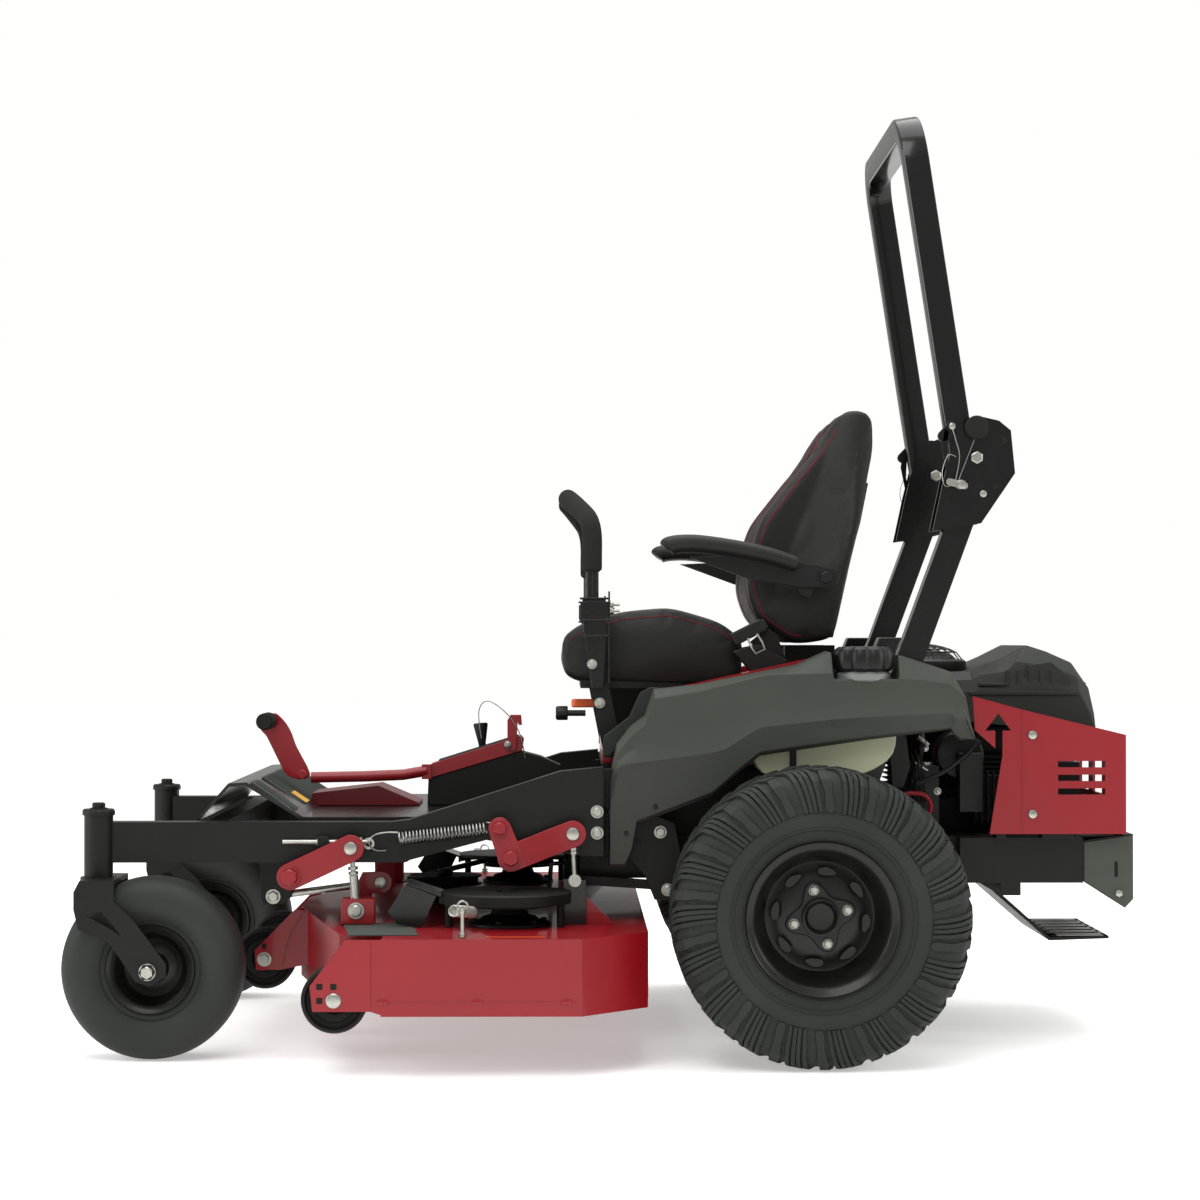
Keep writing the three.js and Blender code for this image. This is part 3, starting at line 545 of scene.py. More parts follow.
# ---- chassis ----
def chassis():
    dress("main_frame", FRAME_BLACK, 3)
    dress("rops_base", GLOSS_BLACK, 3)
    dress("floor_pan", GLOSS_BLACK, 1)
    dress("seat_base", RED, 2)
    for name, side in SIDES:
        dress(f"transaxle_{name}", CASTING, 3)
        bolts = Form(side)
        for spot in ((410, 485.2, 461), (410, 485.2, 421), (289, 426.2, 419), (275, 426.2, 309)):
            bolts.bolt(spot, 19)
        bolts.piece(f"frame_bolts_{name}", ZINC, bevel=0.6)
        bracket = Form(side).prism([(396, 377), (396, 452), (300, 452), (262, 436), (250, 380), (255, 290),
                                    (300, 290), (318, 335), (345, 366)], 418, 426)
        bracket.prism([(445, 318), (445, 336), (300, 326), (300, 308)], 398, 410)
        for x in (330, 345):
            bracket.prism(capsule((x, 400), (x, 401), 4), 426, 428)
        bracket.piece(f"brake_bracket_{name}", FRAME_BLACK, bevel=1.5)
        gusset = Form(side).prism([(398, 470), (398, 540), (350, 544), (350, 430)], 436, 444)
        gusset.piece(f"frame_gusset_{name}", FRAME_BLACK, bevel=1.5)
    covers = Form().box((120, 390), (-250, 250), (600.4, 612))
    for x in (-60, 90, 240):
        covers.box((x, x + 34), (-308, 308), (530, 537))
    covers.piece("seat_mount", FRAME_BLACK, bevel=2)


def footrest():
    """Tread pads on the sloping footrest and a caution patch."""
    low, high = Vector((985, 0, 452.5)), Vector((1072, 0, 511))
    slope = (high - low).normalized()
    rise = Vector((-slope.z, 0, slope.x))

    def patch(form, bottom, top, corners):
        """A thin block on the slope, its corners given as (share of the way up, y)."""
        form.skin([[low.lerp(high, t) + rise * lift + Vector((0, y, 0)) for t, y in corners]
                   for lift in (bottom, top)])

    pads = Form()
    for near, far in ((405, 300), (190, -400)):
        patch(pads, 0, 4, ((0, near), (1, near), (1, far), (0, far)))
        for y in range(near - 12, far + 24, -24):
            patch(pads, 3.5, 7, ((0.05, y), (0.95, y - 20), (0.95, y - 29), (0.05, y - 9)))
    pads.piece("tread_pads", GRIP_PAD, bevel=0.8)
    label = Form()
    patch(label, 7, 7.6, ((0.05, 165), (0.4, 165), (0.4, 90), (0.05, 90)))
    label.piece("caution_patch", YELLOW)


def footwell():
    """The hatch on the floor and the lift pedal."""
    footrest()
    hatch = Form().prism([(985, 448.7), (985, 474), (850, 489), (767, 454), (767, 448.7)], -120, 40)
    hatch.piece("floor_hatch", RED_DARK, bevel=1.5)
    edge = [(1087, 608), (1075, 590), (1060, 560), (1046, 532), (1034, 512), (1010, 503), (988, 508),
            (991, 525), (1003, 548), (1016, 573), (1026, 600), (1041, 623), (1062, 637)]
    arm = Form().prism(spline(edge, 4, closed=True), 60, 68)
    arm.tube([(1001, 50, 514), (1001, 94, 514)], 9, 24)
    arm.piece("pedal_arm", RED, "lift_pedal", bevel=1.5, hides=["lift_pedal"])
    bar = (1070, 0, 622)
    grip = Form().turned([(14, 66), (15.5, 69), (15.5, 156), (14, 160)], bar, steps=28)
    for y in range(74, 156, 8):
        grip.turned([(15, y), (17, y + 1), (17, y + 4), (15, y + 5)], bar, steps=28, closed=True)
    grip.piece("pedal_pad", RUBBER, "lift_pedal")
    rod = Form().tube([(986, 50, 506), (880, 48, 508), (800, 42, 511), (752, 36, 519)], 11, 20)
    rod.box((742, 762), (28, 44), (502, 532))
    rod.piece("pedal_rod", RED, bevel=1)


def height_control():
    support = [(751, 448.7), (749, 503), (561, 559), (520, 548), (480, 530), (480, 448.7)]
    support = Form().prism(support, -33, 33)
    support.piece("height_support", FRAME_BLACK, bevel=2, hides=["height_bracket"])
    rail = [(749, 503), (749, 524), (743, 533), (561, 590), (555, 583), (558, 560)]
    channel = Form().prism(rail, -36, -32).prism(rail, 32, 36)
    channel.prism([(749, 520), (743, 533), (561, 590), (557, 586), (561, 583), (741, 527)], -34, 34)
    latch = [(588, 560), (588, 622), (581, 633), (560, 633), (558, 612), (565, 612), (567, 618), (570, 560)]
    channel.prism(latch, 36.3, 42)
    channel.piece("height_channel", RED, bevel=1.2)
    strip = Form().prism([(728, 537.9), (728, 541), (566, 591.5), (566, 588.5)], -30, 30)
    strip.piece("height_strip", GRIP_PAD)
    bolt = Form().dome((587, 42.2, 572), 8, 4).dome((587, -36.2, 572), 8, 4, (0, -1, 0))
    bolt.piece("height_bolt", ZINC)
    knob = Form().turned([(7, 0), (8, 9), (15, 45), (14, 49), (0, 50)], (640, 0, 566), (0.08, 0, 1), 28)
    knob.piece("height_knob", KNOB, "height_pin", hides=["height_pin"])
    cable = [(641, 38, 585), (646, 42, 640), (628, 43, 661), (592, 43, 638), (565, 42, 600), (551, 40, 545)]
    Form().tube(spline(cable), 1.1, 6).piece("height_tether", STEEL)


# ---- mowing deck ----
def deck():
    dress("deck_shell", RED, 2.5)
    dress("discharge_chute", RUBBER, 2)
    dress("deck_belt", RUBBER)
    for name, spot in SPINDLES.items():
        spindle(name, *spot)
    for name, side in SIDES:
        deck_side(name, side)
    for name in ("front_left", "front_right", "inner_left", "inner_right"):
        low, high = ((Vector(corner) - ORIGIN) * 1000 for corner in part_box(f"roller_{name}"))
        centre, half = (low + high) / 2, (high.y - low.y) / 2
        profile = [(22, half - 8), (26, half - 3), (38, half - 3), (42, half - 9), (50, half - 9),
                   (53, half), (57, half - 1), (60, half - 7)]
        wheel = Form().turned(both_faces(profile), centre, steps=56)
        for angle in turns(5, 20):
            spoke = centre + Vector((32 * cos(angle), 0, 32 * sin(angle)))
            wheel.disc(5, half - 6, half - 1.5, spoke, steps=12)
        wheel.piece(f"roller_skin_{name}", RUBBER, f"roller_{name}", hides=[f"roller_{name}"], angle=28)


def spindle(name, x, y):
    dress(f"blade_{name}", STEEL, 0.6)
    dress(f"spindle_{name}", CASTING, 0.8)
    housing = [(16.5, 250.2), (78, 250.2), (78, 255), (70, 257), (60, 259), (50, 267), (36, 271), (32, 282),
               (16.5, 283)]
    housing = Form().turned(housing, (x, y, 0), UP, closed=True)
    if name != "centre":
        # the belt's cover: a disc over the pulley, a half wall round it and two posts
        middle = (x + 8, y, 0)
        cover = [(20, 309), (118, 309), (122, 306), (124, 306), (124, 311), (120, 314), (20, 314)]
        housing.turned(cover, middle, UP, 64, closed=True)
        first = 0 if y > 0 else 180
        wall = arc(*middle[:2], 124, first, first + 180, 24) + arc(*middle[:2], 121, first + 180, first, 24)
        housing.prism(wall, 292, 312, "z")
        for dx in (-104, 104):
            housing.disc(7, 250.2, 310, (x + 8 + dx, y * 1.09, 0), UP, 16)
    housing.piece(f"spindle_housing_{name}", CASTING, "deck", bevel=0.8)
    ring = Form()
    for angle in turns(6, 15):
        ring.bolt((x + 66 * cos(angle), y + 66 * sin(angle), 256.5), 13, UP)
    ring.piece(f"spindle_bolts_{name}", CASTING, "deck", bevel=0.4)


def deck_side(name, side):
    skin = Form(side)
    if side > 0:
        skin.prism([(818, 121.6), (921, 121.6), (926, 167), (863.5, 248.6), (818, 248.6)], 775.1, 776.8)
        skin.box((446, 792), (775, 776), (136.5, 138.6))
        for x in (796, 626, 467):
            skin.dome((x - 5, 775.2, 137.5), 5, 2.6).dome((x + 4, 775.2, 137.5), 6, 2.6)
    # hanger bracket at the front, its lug, the gusset at the back and a front corner plate
    for near in (LINK_Y + 10, LINK_Y - 31):
        skin.prism([(828, 250.2), (828, 300), (890, 300), (890, 250.2)], near, near + 4)
    skin.box((828, 890), (LINK_Y - 31, LINK_Y + 14), (250.2, 254))
    lug = [(892, 250.2), (882, 290), (858, 341), (823, 342)] + arc(823, 321, 21, 100, 260, 10)
    skin.prism(lug + [(839, 300), (841, 250.2)], LUG_Y - 5, LUG_Y)
    skin.prism([(440, 250.2), (440, 303), (432, 303), (378, 250.2)], 486, 491)
    skin.prism([(1066, 133), (1080, 134), (1083, 172), (1005, 252), (985, 252), (1016, 200), (1030, 140)],
               210.2, 212.5)
    skin.piece(f"deck_brackets_{name}", RED, "deck", bevel=1)
    bolts = Form(side)
    bolts.dome((884, 776.9, 141), 14, 4).bolt((862, LINK_Y + 14.2, 278), 24)
    bolts.dome((823, LUG_Y + 0.2, 321), 12, 4)
    bolts.bolt((1064, 212.6, 155), 22)
    bolts.disc(3.4, 250, 300, (655, 748, 0), UP, 12)
    for z in (251, 256, 294):
        bolts.disc(7.5, z, z + 4, (655, 748, 0), UP, 6)
    bolts.tube([(655 + 9 * cos(a / 3), 744 - a, 306 + 9 * sin(a / 3)) for a in range(19)], 2, 8)
    bolts.tube(helix((672, 742, 298), (640, 640, 286), 10, 14, hand=side), 1.4, 6)
    bolts.piece(f"deck_bolts_{name}", ZINC, "deck", bevel=0.4)
    # dark patches where the square holes and the corner plate's hole are: painted shade standing in for the
    # holes
    hole_shade = Form(side).box((1060, 1069), (212, 212.9), (176, 186))
    if side > 0:
        for x, z in ((909, 166), (884, 166), (909, 141)):
            hole_shade.box((x - 5.5, x + 5.5), (776.2, 777.1), (z - 5.5, z + 5.5))
    hole_shade.piece(f"deck_hole_shade_{name}", FOAM, "deck")
    black = Form(side).prism([(767, 331), (709, 309), (738, 250.3), (783, 257), (800, 279)], 556, 560)
    black.prism([(767, 331), (764, 333), (700, 311), (702, 307)], 440, 560)
    black.box((431, 474), (LINK_Y - 28, LINK_Y - 2.3), (250.4, 334))
    black.tube([(470, 486, 292), (600, 430, 290)], 5, 10)
    black.piece(f"belt_guard_{name}", GLOSS_BLACK, "deck", bevel=1)
    pad = Form(side).prism([(890, 480), (862, 712), (737, 712), (747, 600), (770, 480)], 250.3, 252, "z")
    pad.piece(f"grip_pad_{name}", GRIP_PAD, "deck")
    if side > 0:
        line = Form().box((506, 615), (735, 739), (250.2, 251)).box((608, 612), (728, 746), (250.2, 251))
        line.piece("deck_line", ORANGE, "deck")
    drag_link(name, side)


def drag_link(name, side):
    """The link from the frame to the deck, its hanger on the frame and its pin."""
    y = LUG_Y - 13
    front, back = (1028, 295), (823, 321)
    link = Form(side).tube([(front[0], y, front[1]), (880, y, 314), (back[0], y, back[1])], 7, 16)
    link = link.piece(f"drag_link_{name}", ZINC, None)
    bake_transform(link)
    hanger = [(992, 400), (992, 295), (1008, 281), (1048, 281), (1052, 295), (1052, 400)]
    hanger = Form(side).prism(hanger, LUG_Y, LUG_Y + 4.8)
    hanger.piece(f"link_hanger_{name}", FRAME_BLACK, bevel=1)
    pin = Form(side).bolt((front[0], LUG_Y + 5, front[1]), 22)
    pin.disc(5, 0, 20, (front[0], y, front[1]), steps=12)
    pin.piece(f"link_pin_{name}", ZINC, bevel=0.5)


# ---- deck lift ----
def rockshaft(body, arm):
    """A cross shaft with an arm at each end; the rear arms step inwards and carry a spring arm."""
    red, zinc = Form(), Form()
    (px, pz), (tx, tz) = arm["pivot"], arm["tip"]
    jog = -8 if "spring" in arm else 0
    across = Vector((pz - tz, 0, tx - px)).normalized() * 25
    red.tube([(px, -ARM_Y, pz), (px, ARM_Y, pz)], 19, 32)
    for _, side in SIDES:
        red.side = zinc.side = side
        path = [Vector((px + (tx - px) * t, ARM_Y + shift, pz + (tz - pz) * t))
                for t, shift in ((0, 0), (0.36, 0), (0.54, jog), (1, jog))]
        section = ((-1, -4), (1, -4), (1, 4), (-1, 4))
        red.skin([[point + across * wide + Vector((0, deep, 0)) for wide, deep in section] for point in path])
        for end in (path[0], path[-1]):
            red.disc(25, -3.99, 3.99, end, steps=48)
        if "spring" in arm:
            sx, sz = arm["spring"]
            red.prism(capsule((px, pz), (sx, sz), 24, far=21), ARM_Y - 3.9, ARM_Y + 4.1)
            red.bolt((sx, ARM_Y + 4.2, sz), 27)
        red.bolt((px, ARM_Y + 4.1, pz), 32)
        zinc.dome((tx, ARM_Y + jog + 4.1, tz), 13, 6)
    red.piece(f"{body}_skin", RED, body, bevel=2, hides=[body])
    zinc.piece(f"{body}_pins", ZINC, body)


def hanger_link(name, side, end, foot, tip, thick, share):
    """A threaded rod with an eye at both ends, thicker over the lower share of its length."""
    top, bottom = (Vector((x, LINK_Y, z)) for x, z in (tip, foot))
    link = Form(side).tube([bottom, top], 4.5, 14)
    link.tube([bottom, bottom.lerp(top, share)], thick, 18)
    for t in (0.56, 0.64):
        link.disc(9.5, 0, 6, bottom.lerp(top, t), top - bottom, 6)
    link.disc(12, -3, 6, bottom).disc(11, -3, 4, top)
    link.piece(f"hanger_{end}_{name}", ZINC, f"{end}_links", bevel=0.5, hides=[f"{end}_link_{name}"])


def lift():
    rockshaft("front_rockshaft", FRONT_ARM)
    rockshaft("rear_rockshaft", REAR_ARM)
    for name, side in SIDES:
        hanger_link(name, side, "front", FRONT_LINK_FOOT, FRONT_ARM["tip"], 8.5, 0.55)
        hanger_link(name, side, "rear", REAR_LINK_FOOT, REAR_ARM["tip"], 4.5, 0.3)
    coil_y, rod_y = 496, 490
    hook = [(807, 389), (824, 389), (837, 397), (838, 409), (827, 419), (806, 423), (785, 423)]
    wire = spline([(x, coil_y, z) for x, z in hook], 5)
    wire += helix((782, coil_y, 411), (617, coil_y, 430), 12, 25)
    eye = [(612, coil_y + 6, 441), (600, coil_y + 2, 441), (590, coil_y, 434), (594, coil_y, 424)]
    wire += spline(eye, 4)
    coil = Form().tube(wire, 1.7, 7).piece("spring_coil", STEEL, None, hides=["lift_spring"])
    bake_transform(coil)
    rod = Form().tube([(1002, rod_y, 405), (842, rod_y, 405)], 4.6, 14)
    for x in (922, 931, 852):
        rod.disc(9, 0, 6, (x, rod_y, 405), (1, 0, 0), 6)
    rod.turned([(6, -3), (11, -3), (11, 3), (6, 3)], (840, rod_y, 402), steps=24, closed=True)
    rod.piece("spring_rod", ZINC, bevel=0.4)
    anchor = Form().box((914, 936), (480.2, 499), (396, 416))
    anchor.piece("spring_anchor", FRAME_BLACK, bevel=1)


# ---- controls ----
def round_ends(t):
    """A grip's round section, drawn in at both ends."""
    edge = min(1, min(t, 1 - t) * 18)
    return arc(0, 0, 19.5 * (0.72 + 0.28 * sqrt(1 - (1 - edge) ** 2)), 0, 345, 23)


def lever(name, side):
    arm, handle = f"lever_arm_{name}", f"lever_handle_{name}"
    dress(arm, FRAME_BLACK, 1.5)
    bend = spline([(418, 300, 918), (418, 300, 950), (418, 300, 985), (421, 292, 1008), (428, 262, 1026),
                   (446, 200, 1048), (462, 142, 1065), (466, 128, 1068)], 5)
    foam = Form(side).swept(bend, round_ends, (1, 0, 0.2)).piece(f"foam_{name}", FOAM, handle)
    steel = Form(side)
    for x in (412.6, 423.4):
        steel.tube([(x, 300, 858), (x, 300, 922)], 7.5, 16)
    steel.prism([(396, 692), (418, 692), (434, 800), (437, 864), (393, 864), (390, 800)], 287.6, 308)
    steel.box((386, 441), (289, 313), (828, 860)).box((383, 386.5), (290, 310), (700, 880))
    for x, z in (((383, 442), 822), ((383, 442), 864), ((386, 432), 791)):
        steel.box(x, (287.5, 314), (z, z + 4))
    steel.piece(f"handle_clamp_{name}", GLOSS_BLACK, handle, bevel=1, hides=[handle])
    nuts = Form(side).bolt((418, 308.2, 738), 15)
    for y, z in ((300, 854), (306, 842)):
        nuts.bolt((383, y, z), 13, (-1, 0, 0)).tube([(382, y, z), (364, y, z)], 3)
    nuts.piece(f"handle_nuts_{name}", ZINC, handle, bevel=0.4)
    pivot = Form(side).bolt((403, 287.2, 662), 16).bolt((375, 287.2, 580), 19)
    pivot.piece(f"lever_bolts_{name}", ZINC, arm, bevel=0.4)


def seat_controls():
    outline = arc(447, 139, 11, -90, 90, 10) + [(404, 147), (400, 139), (404, 131)]
    tab = Form().prism(outline, 650, 667, "z")
    tab.piece("seat_lever_tab", ORANGE, "seat_lever", bevel=4, segments=4, hides=["seat_lever"])
    knob = [(13, 0), (14, 3), (14, 20), (12, 24)]
    knob = Form().turned(knob, (465, 230, 641), (1, 0, 0), 20).tube([(430, 230, 641), (466, 230, 641)], 6, 12)
    knob.piece("seat_knob", KNOB, "seat", angle=25)


# ---- seat ----
CUSHION = [(478, 790), (476, 716), (440, 700), (150, 690), (122, 712), (118, 785), (163, 821), (262, 850),
           (362, 841), (440, 818)]
BACKREST = [(-34, 1168), (-66, 1222), (-88, 1247), (-130, 1248), (-148, 1232), (-147, 1165), (-134, 1110),
            (-118, 1023), (-96, 940), (-62, 785), (24, 777), (90, 822), (112, 884), (108, 944), (84, 1023),
            (10, 1118)]
CUSHION_SEAM_Y = 150
BACKREST_SEAM_Y = 140


def even_ring(outline, count, rounds):
    """count points evenly spaced round an outline, its corners eased."""
    points = [Vector((x, 0, z)) for x, z in outline]
    lengths = [(b - a).length for a, b in zip(points, points[1:] + points[:1])]
    total, ring = sum(lengths), []
    for k in range(count):
        s, i = total * k / count, 0
        while s > lengths[i]:
            s -= lengths[i]
            i += 1
        ring.append(points[i].lerp(points[(i + 1) % len(points)], s / lengths[i]))
    for _ in range(rounds):
        ring = [(ring[i - 1] + 2 * ring[i] + ring[(i + 1) % count]) / 4 for i in range(count)]
    return ring


def outward(ring, i):
    """The direction out of a ring at its point i."""
    along = (ring[(i + 1) % len(ring)] - ring[i - 1]).normalized()
    normal = Vector((along.z, 0, -along.x))
    middle = sum(ring, Vector()) / len(ring)
    return -normal if normal.dot(ring[i] - middle) < 0 else normal


def pad_solid(ring, half, rounding, sink, taper):
    """A ring carried across the seat: rounded at both sides, sunk in the middle, tapered upwards."""
    normals = [outward(ring, i) for i in range(len(ring))]
    slices = []
    for k in range(-14, 15):
        y = half * sin(k / 14 * pi / 2)
        over = max(0, (abs(y) - half + rounding) / rounding)
        inset = rounding * (1 - sqrt(max(0, 1 - over * over)))
        moved = [point - normal * (inset + sink(y, normal)) for point, normal in zip(ring, normals)]
        slices.append([(p.x, y * taper(p.z), p.z) for p in moved])
    return Form().skin(slices)


def inflate(made, seam, cap):
    """Cloth under pressure, held along the seams; no point moves further than cap millimetres."""
    remesh = made.modifiers.new("remesh", "REMESH")
    remesh.mode = "VOXEL"
    remesh.voxel_size = 0.007
    baked(made).shade_smooth()
    rest = [v.co.copy() for v in made.data.vertices]
    group = made.vertex_groups.new(name="seam")
    for vert in made.data.vertices:
        if seam((vert.co - ORIGIN) * 1000):
            group.add([vert.index], 1.0, "REPLACE")
    cloth = made.modifiers.new("cloth", "CLOTH")
    cloth.settings.use_pressure = True
    cloth.settings.uniform_pressure_force = 4
    cloth.settings.effector_weights.gravity = 0
    cloth.settings.vertex_group_mass = "seam"
    cloth.point_cache.frame_start = 1
    cloth.point_cache.frame_end = 20
    for frame_number in range(1, 21):
        bpy.context.scene.frame_set(frame_number)
    baked(made).shade_smooth()
    bpy.context.scene.frame_set(1)
    for vert, start in zip(made.data.vertices, rest):
        moved = vert.co - start
        if moved.length > cap / 1000:
            vert.co = start + moved.normalized() * cap / 1000
    smooth = made.modifiers.new("smooth", "SUBSURF")
    smooth.levels = smooth.render_levels = 1


def sewn(name, onto, paths, radius):
    """Cords of stitching laid on the surface of a pad."""
    form = Form()
    bpy.context.view_layer.update()
    for path in paths:
        laid = []
        for point in path:
            _, spot, normal, _ = onto.closest_point_on_mesh(ORIGIN + Vector(point) / 1000)
            laid.append((spot + normal * 0.0004 - ORIGIN) * 1000)
        form.tube(laid, radius, 6)
    form.piece(name, STITCH, "seat")


def dished(depth, facing):
    """How far a pad sinks between its seams where it faces the rider."""
    def sink(y, normal):
        if normal.dot(facing) < 0.3 or abs(y) > 158:
            return 1
        return 1 + depth * (0.5 + 0.5 * cos(pi * abs(y) / 158)) * min(1, normal.dot(facing) * 1.6)
    return sink


def narrowing(z):
    """How much narrower the backrest is at a height."""
    t = min(1, max(0, (z - 940) / 300))
    return 1 - 0.3 * t * t * (3 - 2 * t)


def straight(z):
    return 1


def seam_lines(ring, chosen, edge_y, gap, inner_y, taper):
    """Two lines of stitching on each half: round the edge, gap inboard of it, and down the middle."""
    lines = []
    for way in (-1, 1):
        edge = [ring[i] - outward(ring, i) * gap for i in chosen]
        lines.append([(p.x, way * edge_y * taper(p.z), p.z) for p in edge])
        lines.append([(ring[i].x, way * inner_y * taper(ring[i].z), ring[i].z) for i in chosen])
    return lines


def seat():
    dress("seat_frame", FRAME_BLACK, 2)
    base_ring = even_ring(CUSHION, 72, 2)
    back_ring = even_ring(BACKREST, 100, 3)
    base = pad_solid(base_ring, 240, 15, dished(16, Vector((0, 0, 1))), straight)
    base = base.piece("cushion", VINYL, "seat", angle=60, hides=["seat_cushion"], slot="seat_vinyl")
    back = pad_solid(back_ring, 224, 16, dished(18, Vector((0.9, 0, 0.4))), narrowing)
    back = back.piece("backrest", VINYL, "seat", angle=60, hides=["seat_back"], slot="seat_vinyl")

    def cushion_seam(p):
        return p.z < 704 or abs(abs(p.y) - 226) < 4 or (abs(abs(p.y) - CUSHION_SEAM_Y) < 4 and p.z > 760)

    def backrest_seam(p):
        wide = narrowing(p.z)
        return abs(abs(p.y) - 210 * wide) < 4 or (abs(abs(p.y) - BACKREST_SEAM_Y * wide) < 4 and p.x > -20)

    def bearing(i):
        """The angle of a point of the backrest's ring, seen from its middle."""
        return atan2(back_ring[i].z - 960, back_ring[i].x + 20)

    inflate(base, cushion_seam, 9)
    inflate(back, backrest_seam, 9)
    top = sorted((i for i, p in enumerate(base_ring) if p.z > 782), key=lambda i: base_ring[i].x)
    front = sorted((i for i in range(len(back_ring)) if -1.45 < bearing(i) < 1.75), key=bearing)
    sewn("cushion_stitching", base, seam_lines(base_ring, top, 241, 14, CUSHION_SEAM_Y, straight), 0.8)
    sewn("backrest_stitching", back, seam_lines(back_ring, front, 226, 13, BACKREST_SEAM_Y, narrowing), 1.0)
    head = [(-36 - 8 * t, 150 * cos(pi * t / 8), 1150 + 40 * sin(pi * t / 8)) for t in range(9)]
    sewn("head_stitching", back, [head], 1.2)
    shell = [(-20, 792), (-52, 944), (-78, 1020), (-94, 1100), (-137, 1100), (-121, 1020), (-99, 940),
             (-66, 790)]
    shell = Form().prism(shell, -150, 150)
    shell.piece("backrest_shell", COVER, "seat", bevel=2)
    for name, side in SIDES:
        armrest(name, side)
    seat_belt()


def seat_belt():
    spot = Vector((112, 264, 800))
    tilt = Matrix.Rotation(radians(27), 3, "Y")
    buckle = Form()
    for x, y, z in (((-34, 34), 13, 13), ((-40, -30), 11, 10)):
        corners = ((x[0], -y), (x[1], -y), (x[1], y), (x[0], y))
        buckle.skin([[spot + tilt @ Vector((*corner, c)) for corner in corners] for c in (-z, z)])
    buckle.piece("belt_buckle", KNOB, "seat", bevel=3, segments=3)
    loop = [(-14, 14, -10), (-16, 16, -30), (-14, 16, -44), (6, 16, -44), (8, 16, -30), (6, 14, -10)]
    Form().tube([spot + tilt @ Vector(p) for p in loop], 2.2, 8).piece("buckle_tongue", ZINC, "seat")
    sleeve = Form().prism([(142, 762), (126, 770), (88, 778), (34, 746), (40, 728), (103, 718)], 255, 267)
    sleeve.piece("belt_sleeve", KNOB, "seat", bevel=4, segments=3)
    strap = Form().swept(spline([(90, 262, 796), (70, 262, 770), (60, 258, 740), (58, 252, 712)], 5),
                         lambda t: [(-23, -1.2), (23, -1.2), (23, 1.2), (-23, 1.2)], (0, 1, 0))
    strap.piece("belt_strap", FOAM, "seat")


def armrest(name, side):
    body = f"armrest_{name}"
    path = spline([(274, 298, 962), (266, 298, 969), (240, 298, 973), (200, 298, 972),
                   (130, 298, 962), (70, 298, 949), (26, 298, 935), (15, 298, 931)], 5)

    def oval(t):
        end = min(1, min(t, 1 - t) * 9)
        grow = sqrt(max(0.02, 1 - (1 - end) ** 2))
        return [(31 * grow * copysign(abs(cos(a)) ** 0.7, cos(a)),
                 (15 + 4 * (1 - t)) * grow * copysign(abs(sin(a)) ** 0.8, sin(a))) for a in turns(24)]

    pad = Form(side).swept(path, oval, UP)
    pad = pad.piece(f"armrest_pad_{name}", VINYL, body, angle=60, slot="armrest_vinyl")
    arm = Form(side).prism([(226, 947), (109, 904), (11, 889), (-50, 887), (-64, 893), (-71, 922), (11, 938),
                            (120, 952)], 262, 272)
    arm.prism([(14, 886), (-16, 886), (-14, 872), (-6, 868), (6, 872)], 244, 262)
    arm.tube([(-41, 236, 908), (-41, 264, 908)], 16, 24).bolt((-41, 272.2, 908), 26)
    arm.piece(f"armrest_arm_{name}", KNOB, body, bevel=3, segments=3, hides=[body])


# ---- roll bar ----
def hoop():
    lean = radians(8.7)
    x_axis, z_axis = Vector((cos(lean), 0, -sin(lean))), Vector((sin(lean), 0, cos(lean)))
    base = Vector((-301, 0, 1138))
    top = (1820 - base.z) / cos(lean) - 6 - 23.9
    bend, half = 71, 320
    flat = [(half, -90), (half, 300), (half, top - bend)] + arc(half - bend, top - bend, bend, 8, 82)
    flat += [(half - bend, top)]
    flat += [(-y, z) for y, z in flat[::-1]]
    path = [base + Vector((0, y, 0)) + z_axis * z for y, z in flat]
    square = []
    for cx, cy, start in ((18.5, 20, 0), (-18.5, 20, 90), (-18.5, -20, 180), (18.5, -20, 270)):
        square += arc(cx, cy, 5, start, start + 90, 3)
    bar = Form().swept(path, lambda t: square, x_axis)
    bar.piece("roll_bar", GLOSS_BLACK, "rops_hoop", hides=["rops_hoop"], slot="gloss_black", angle=28)


